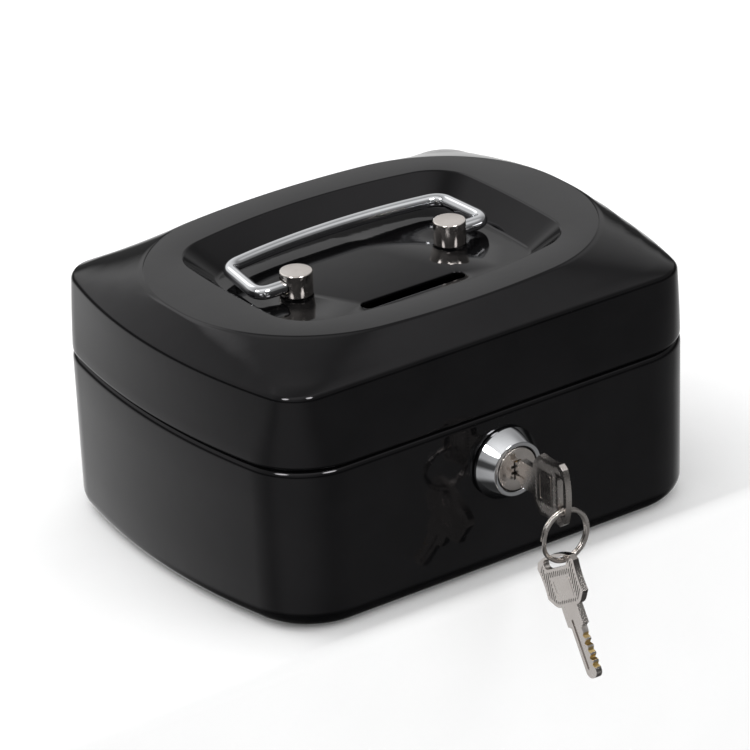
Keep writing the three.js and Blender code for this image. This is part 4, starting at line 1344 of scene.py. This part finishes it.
def tray_edge(outline):
    """Plan outline of the tray with the notch in its front for the lock."""
    points = outline_points(outline)
    notch = rounded([
        (NOTCH_LEFT, -FAR, 0), (NOTCH_LEFT, NOTCH_BACK, NOTCH_CORNER_R),
        (NOTCH_RIGHT, NOTCH_BACK, NOTCH_CORNER_R), (NOTCH_RIGHT, -FAR, 0),
    ])[1:-1]
    front = -outline["b"]
    notch = [(NOTCH_LEFT, front), *notch, (NOTCH_RIGHT, front)]
    gone = [
        i for i, (x, y) in enumerate(outline_points(BODY))
        if y < 0 and NOTCH_LEFT - NOTCH_BESIDE < x < NOTCH_RIGHT + NOTCH_BESIDE
    ]
    return points[:gone[0]] + notch + points[gone[-1] + 1:]


def tray_pocket_rings(core):
    """Rings of a pocket's wall from its scooped floor up to its rounded lip."""
    bottom = TRAY_FLOOR_Z + TRAY_WALL
    draft = 0.5
    sections = [(0.35, TRAY_TOP_Z), (0.12, TRAY_TOP_Z - 0.08), (0.0, TRAY_TOP_Z - 0.35)]
    sections.append((-draft, bottom + TRAY_SCOOP_R))
    scoop = bends(TRAY_SCOOP_R, span(0, 90, 7)[1:])
    sections += [(-draft - across, bottom + up) for across, up in scoop]
    return [level(grown(core, TRAY_CORNER_R + d), z) for d, z in reversed(sections)]


def coin_tray():
    top, flange, wall = TRAY_TOP_Z, TRAY_FLANGE_INSET, TRAY_INSET + TRAY_DRAFT
    lip = bends(TRAY_FLANGE_R, span(90, 0, 3))
    rings = [(flange + across, top - down) for across, down in lip]
    rings += [(flange, top - 0.8), (flange + 0.2, top - TRAY_FLANGE), (TRAY_INSET, top - TRAY_FLANGE)]
    rings += [(TRAY_INSET + 0.2, top - 1.8), (wall, TRAY_FLOOR_Z + 3.0)]
    rings += [(wall + across, TRAY_FLOOR_Z + up) for across, up in bends(TRAY_FOOT_R, (20, 45, 70, 90))]
    skin = Skin()
    loops = skin.stack([level(tray_edge(inset(BODY, d)), z) for d, z in rings])
    lips = []
    for core in tray_pockets():
        walls = skin.stack(tray_pocket_rings(core))
        skin.cap(walls[0])
        lips.append(walls[-1])
    skin.fill(loops[0], lips)
    skin.fill(loops[-1], [], flip=True)
    return skin


# ---------------------------------------------------------------- build
make_camera()
make_world()
make_floor()
bpy.context.scene.view_settings.view_transform = "Standard"
make_light("rear_softbox", location=(-0.25, 0.55, 0.5), aim=(-0.1, 0.25, 0.0), size=0.6, power=3.0)
make_light("front_softbox", location=(0.6, -0.9, 0.9), aim=(0.0, 0.0, 0.04), size=0.7, power=1.5)

finishes = {
    "black_enamel": black_enamel(),
    "chrome": plated("chrome", (0.74, 0.75, 0.77), (0.8, 0.81, 0.83), 0.03, 0.06, 90.0, 0.02),
    "brushed_nickel": plated(
        "brushed_nickel", (0.7, 0.65, 0.61), (0.8, 0.75, 0.71), 0.12, 0.18, 160.0, 0.04, top_rough=0.16,
    ),
    "key_nickel": plated("key_nickel", (0.6, 0.56, 0.53), (0.68, 0.64, 0.61), 0.2, 0.32, 140.0, 0.06),
    "zinc_plate": plated("zinc_plate", (0.5, 0.51, 0.52), (0.6, 0.61, 0.62), 0.3, 0.42, 120.0, 0.08),
    "wafer_brass": plated("wafer_brass", (0.6, 0.45, 0.2), (0.72, 0.55, 0.28), 0.28, 0.4, 150.0, 0.06),
    "tray_plastic": tray_plastic(),
}
for node, slot_name in SLOT_OF.items():
    nodes[node].data.materials.clear()
    nodes[node].data.materials.append(finishes[slot_name])

at_lock = shift(0.0, 0.0, LOCK_Z) @ TO_FRONT
lock_hole = Skin().add(rod(BARREL_R + GAP, 50.0, HALF_Y + 3.0), at_lock)
notch_half = CATCH_HALF + CATCH_ROOM
notch_outline = rounded_box(-notch_half, notch_half, BASE_TOP_Z + 0.2, NECK_TOP_Z + 6.0, 1.0)
neck_notch = Skin().add(slab(notch_outline, [], HALF_Y - 7.0, HALF_Y + 1.0), TO_FRONT)
base = carve(base_shell(), lock_hole, neck_notch)
make_piece("base_body", base, "base_shell")
make_piece("lid_body", lid_shell(), "lid_shell")
make_piece("tray", coin_tray(), "coin_tray")
soften(make_piece("catch_bracket", latch_catch(), "latch_catch", ALONG_X), 0.25)

wire_turn = shift(0.0, POST_Y, BAIL_AXIS_Z) @ Matrix.Rotation(BAIL_RAISE, 4, "X")
make_piece("bail_wire", bail_wire(), "handle_bail", wire_turn)
washer_top = FLOOR_Z - SHEET - 0.25
head_top = washer_top - POST_WASHER_THICKNESS - 0.25
post_screw = screw(head_top - SCREW_HEAD_DEPTH, head_top, SCREW_HEAD_R, SCREW_R, POST_TOP_Z - 2.1)
post_washer = tube(SCREW_R + GAP, POST_WASHER_R, washer_top - POST_WASHER_THICKNESS, washer_top)
pin = hinge_pin()
for side, word in ((-1, "left"), (1, "right")):
    at_post = shift(side * POST_X, POST_Y, 0.0)
    make_piece(f"post_{word}", handle_post(side), f"handle_post_{word}", at_post)
    make_piece(f"screw_{word}", post_screw, f"post_screw_{word}", at_post)
    make_piece(f"washer_{word}", post_washer, f"post_washer_{word}", at_post)
    for part, on_lid in (("base", False), ("lid", True)):
        leaf = make_piece(f"leaf_{part}_{word}", hinge_leaf(side, on_lid), f"hinge_leaf_{part}_{word}")
        soften(leaf, 0.12)
    at_pin = shift(side * HINGE_X - HINGE_WIDTH / 2 - HINGE_PIN_OVERHANG, HINGE_Y, HINGE_Z)
    make_piece(f"pin_{word}", pin, f"hinge_pin_{word}", at_pin @ TO_RIGHT)
    for number, offset in ((1, -RIVET_SPREAD), (2, RIVET_SPREAD)):
        x = side * HINGE_X + offset
        make_piece(f"rivet_base_{word}_{number}", rivet(), f"base_rivet_{word}_{number}",
                   shift(x, BODY["b"], BASE_RIVET_Z) @ TO_REAR)
        leaning = shift(x, lid_wall_y(LID_RIVET_Z), LID_RIVET_Z) @ Matrix.Rotation(LID_WALL_LEAN, 4, "X")
        make_piece(f"rivet_lid_{word}_{number}", rivet(), f"lid_rivet_{word}_{number}", leaning @ TO_REAR)

make_piece("housing", lock_housing(), "lock_housing", at_lock)
make_piece("housing_washer", tube(BARREL_R + GAP, **LOCK_WASHER), "lock_washer", at_lock)
soften(make_piece("housing_nut", lock_nut(), "lock_nut", at_lock), 0.35)
soften(make_piece("plug", lock_plug(), "lock_plug", at_lock), 0.1)
for number, distance in enumerate(wafer_distances(), 1):
    soften(make_piece(f"wafer_{number}", wafer(distance), f"lock_wafer_{number}", at_lock), 0.08)
soften(make_piece("cam", lock_cam(), "lock_cam", at_lock), 0.2)
make_piece("cam_ring", tube(CAM_SCREW_BORE, **CAM_WASHER), "cam_washer", at_lock)
make_piece("cam_fixing", screw(**CAM_SCREW), "cam_screw", at_lock)

shape = key_outline()
blank, relief, cuts = key_blank(shape), key_relief(shape), key_cuts()


def key_turn(across, tipward, origin):
    turn = Matrix((across, tipward, across.cross(tipward))).transposed().to_4x4()
    return Matrix.Translation(origin) @ turn


hang_y = RING_AT_V - KEY_HEAD_TOP
ring_top = LOCK_Z - RING_AT_U
across = Vector((0.0, -math.cos(SPARE_TILT), math.sin(SPARE_TILT)))
tipward = Vector((0.0, -math.sin(SPARE_TILT), -math.cos(SPARE_TILT)))
spare_origin = Vector((0.0, hang_y, ring_top - 2 * RING_R)) - across * RING_AT_U - tipward * RING_AT_V
turns = {
    "key_in_lock": key_turn(
        Vector((0.0, 0.0, 1.0)), Vector((0.0, 1.0, 0.0)), Vector((0.0, -KEY_HEAD_TOP, LOCK_Z)),
    ),
    "spare_key": key_turn(across, tipward, spare_origin),
}
for node, turn in turns.items():
    soften(make_piece(f"{node}_blank", blank, node, turn), 0.22)
    make_piece(f"{node}_relief", relief, node, turn, sharp=20.0)
    make_piece(f"{node}_cuts", cuts, node, turn, slot="wafer_brass")
make_piece("ring_wire", split_ring(), "key_ring", shift(0.0, hang_y, ring_top - RING_R))
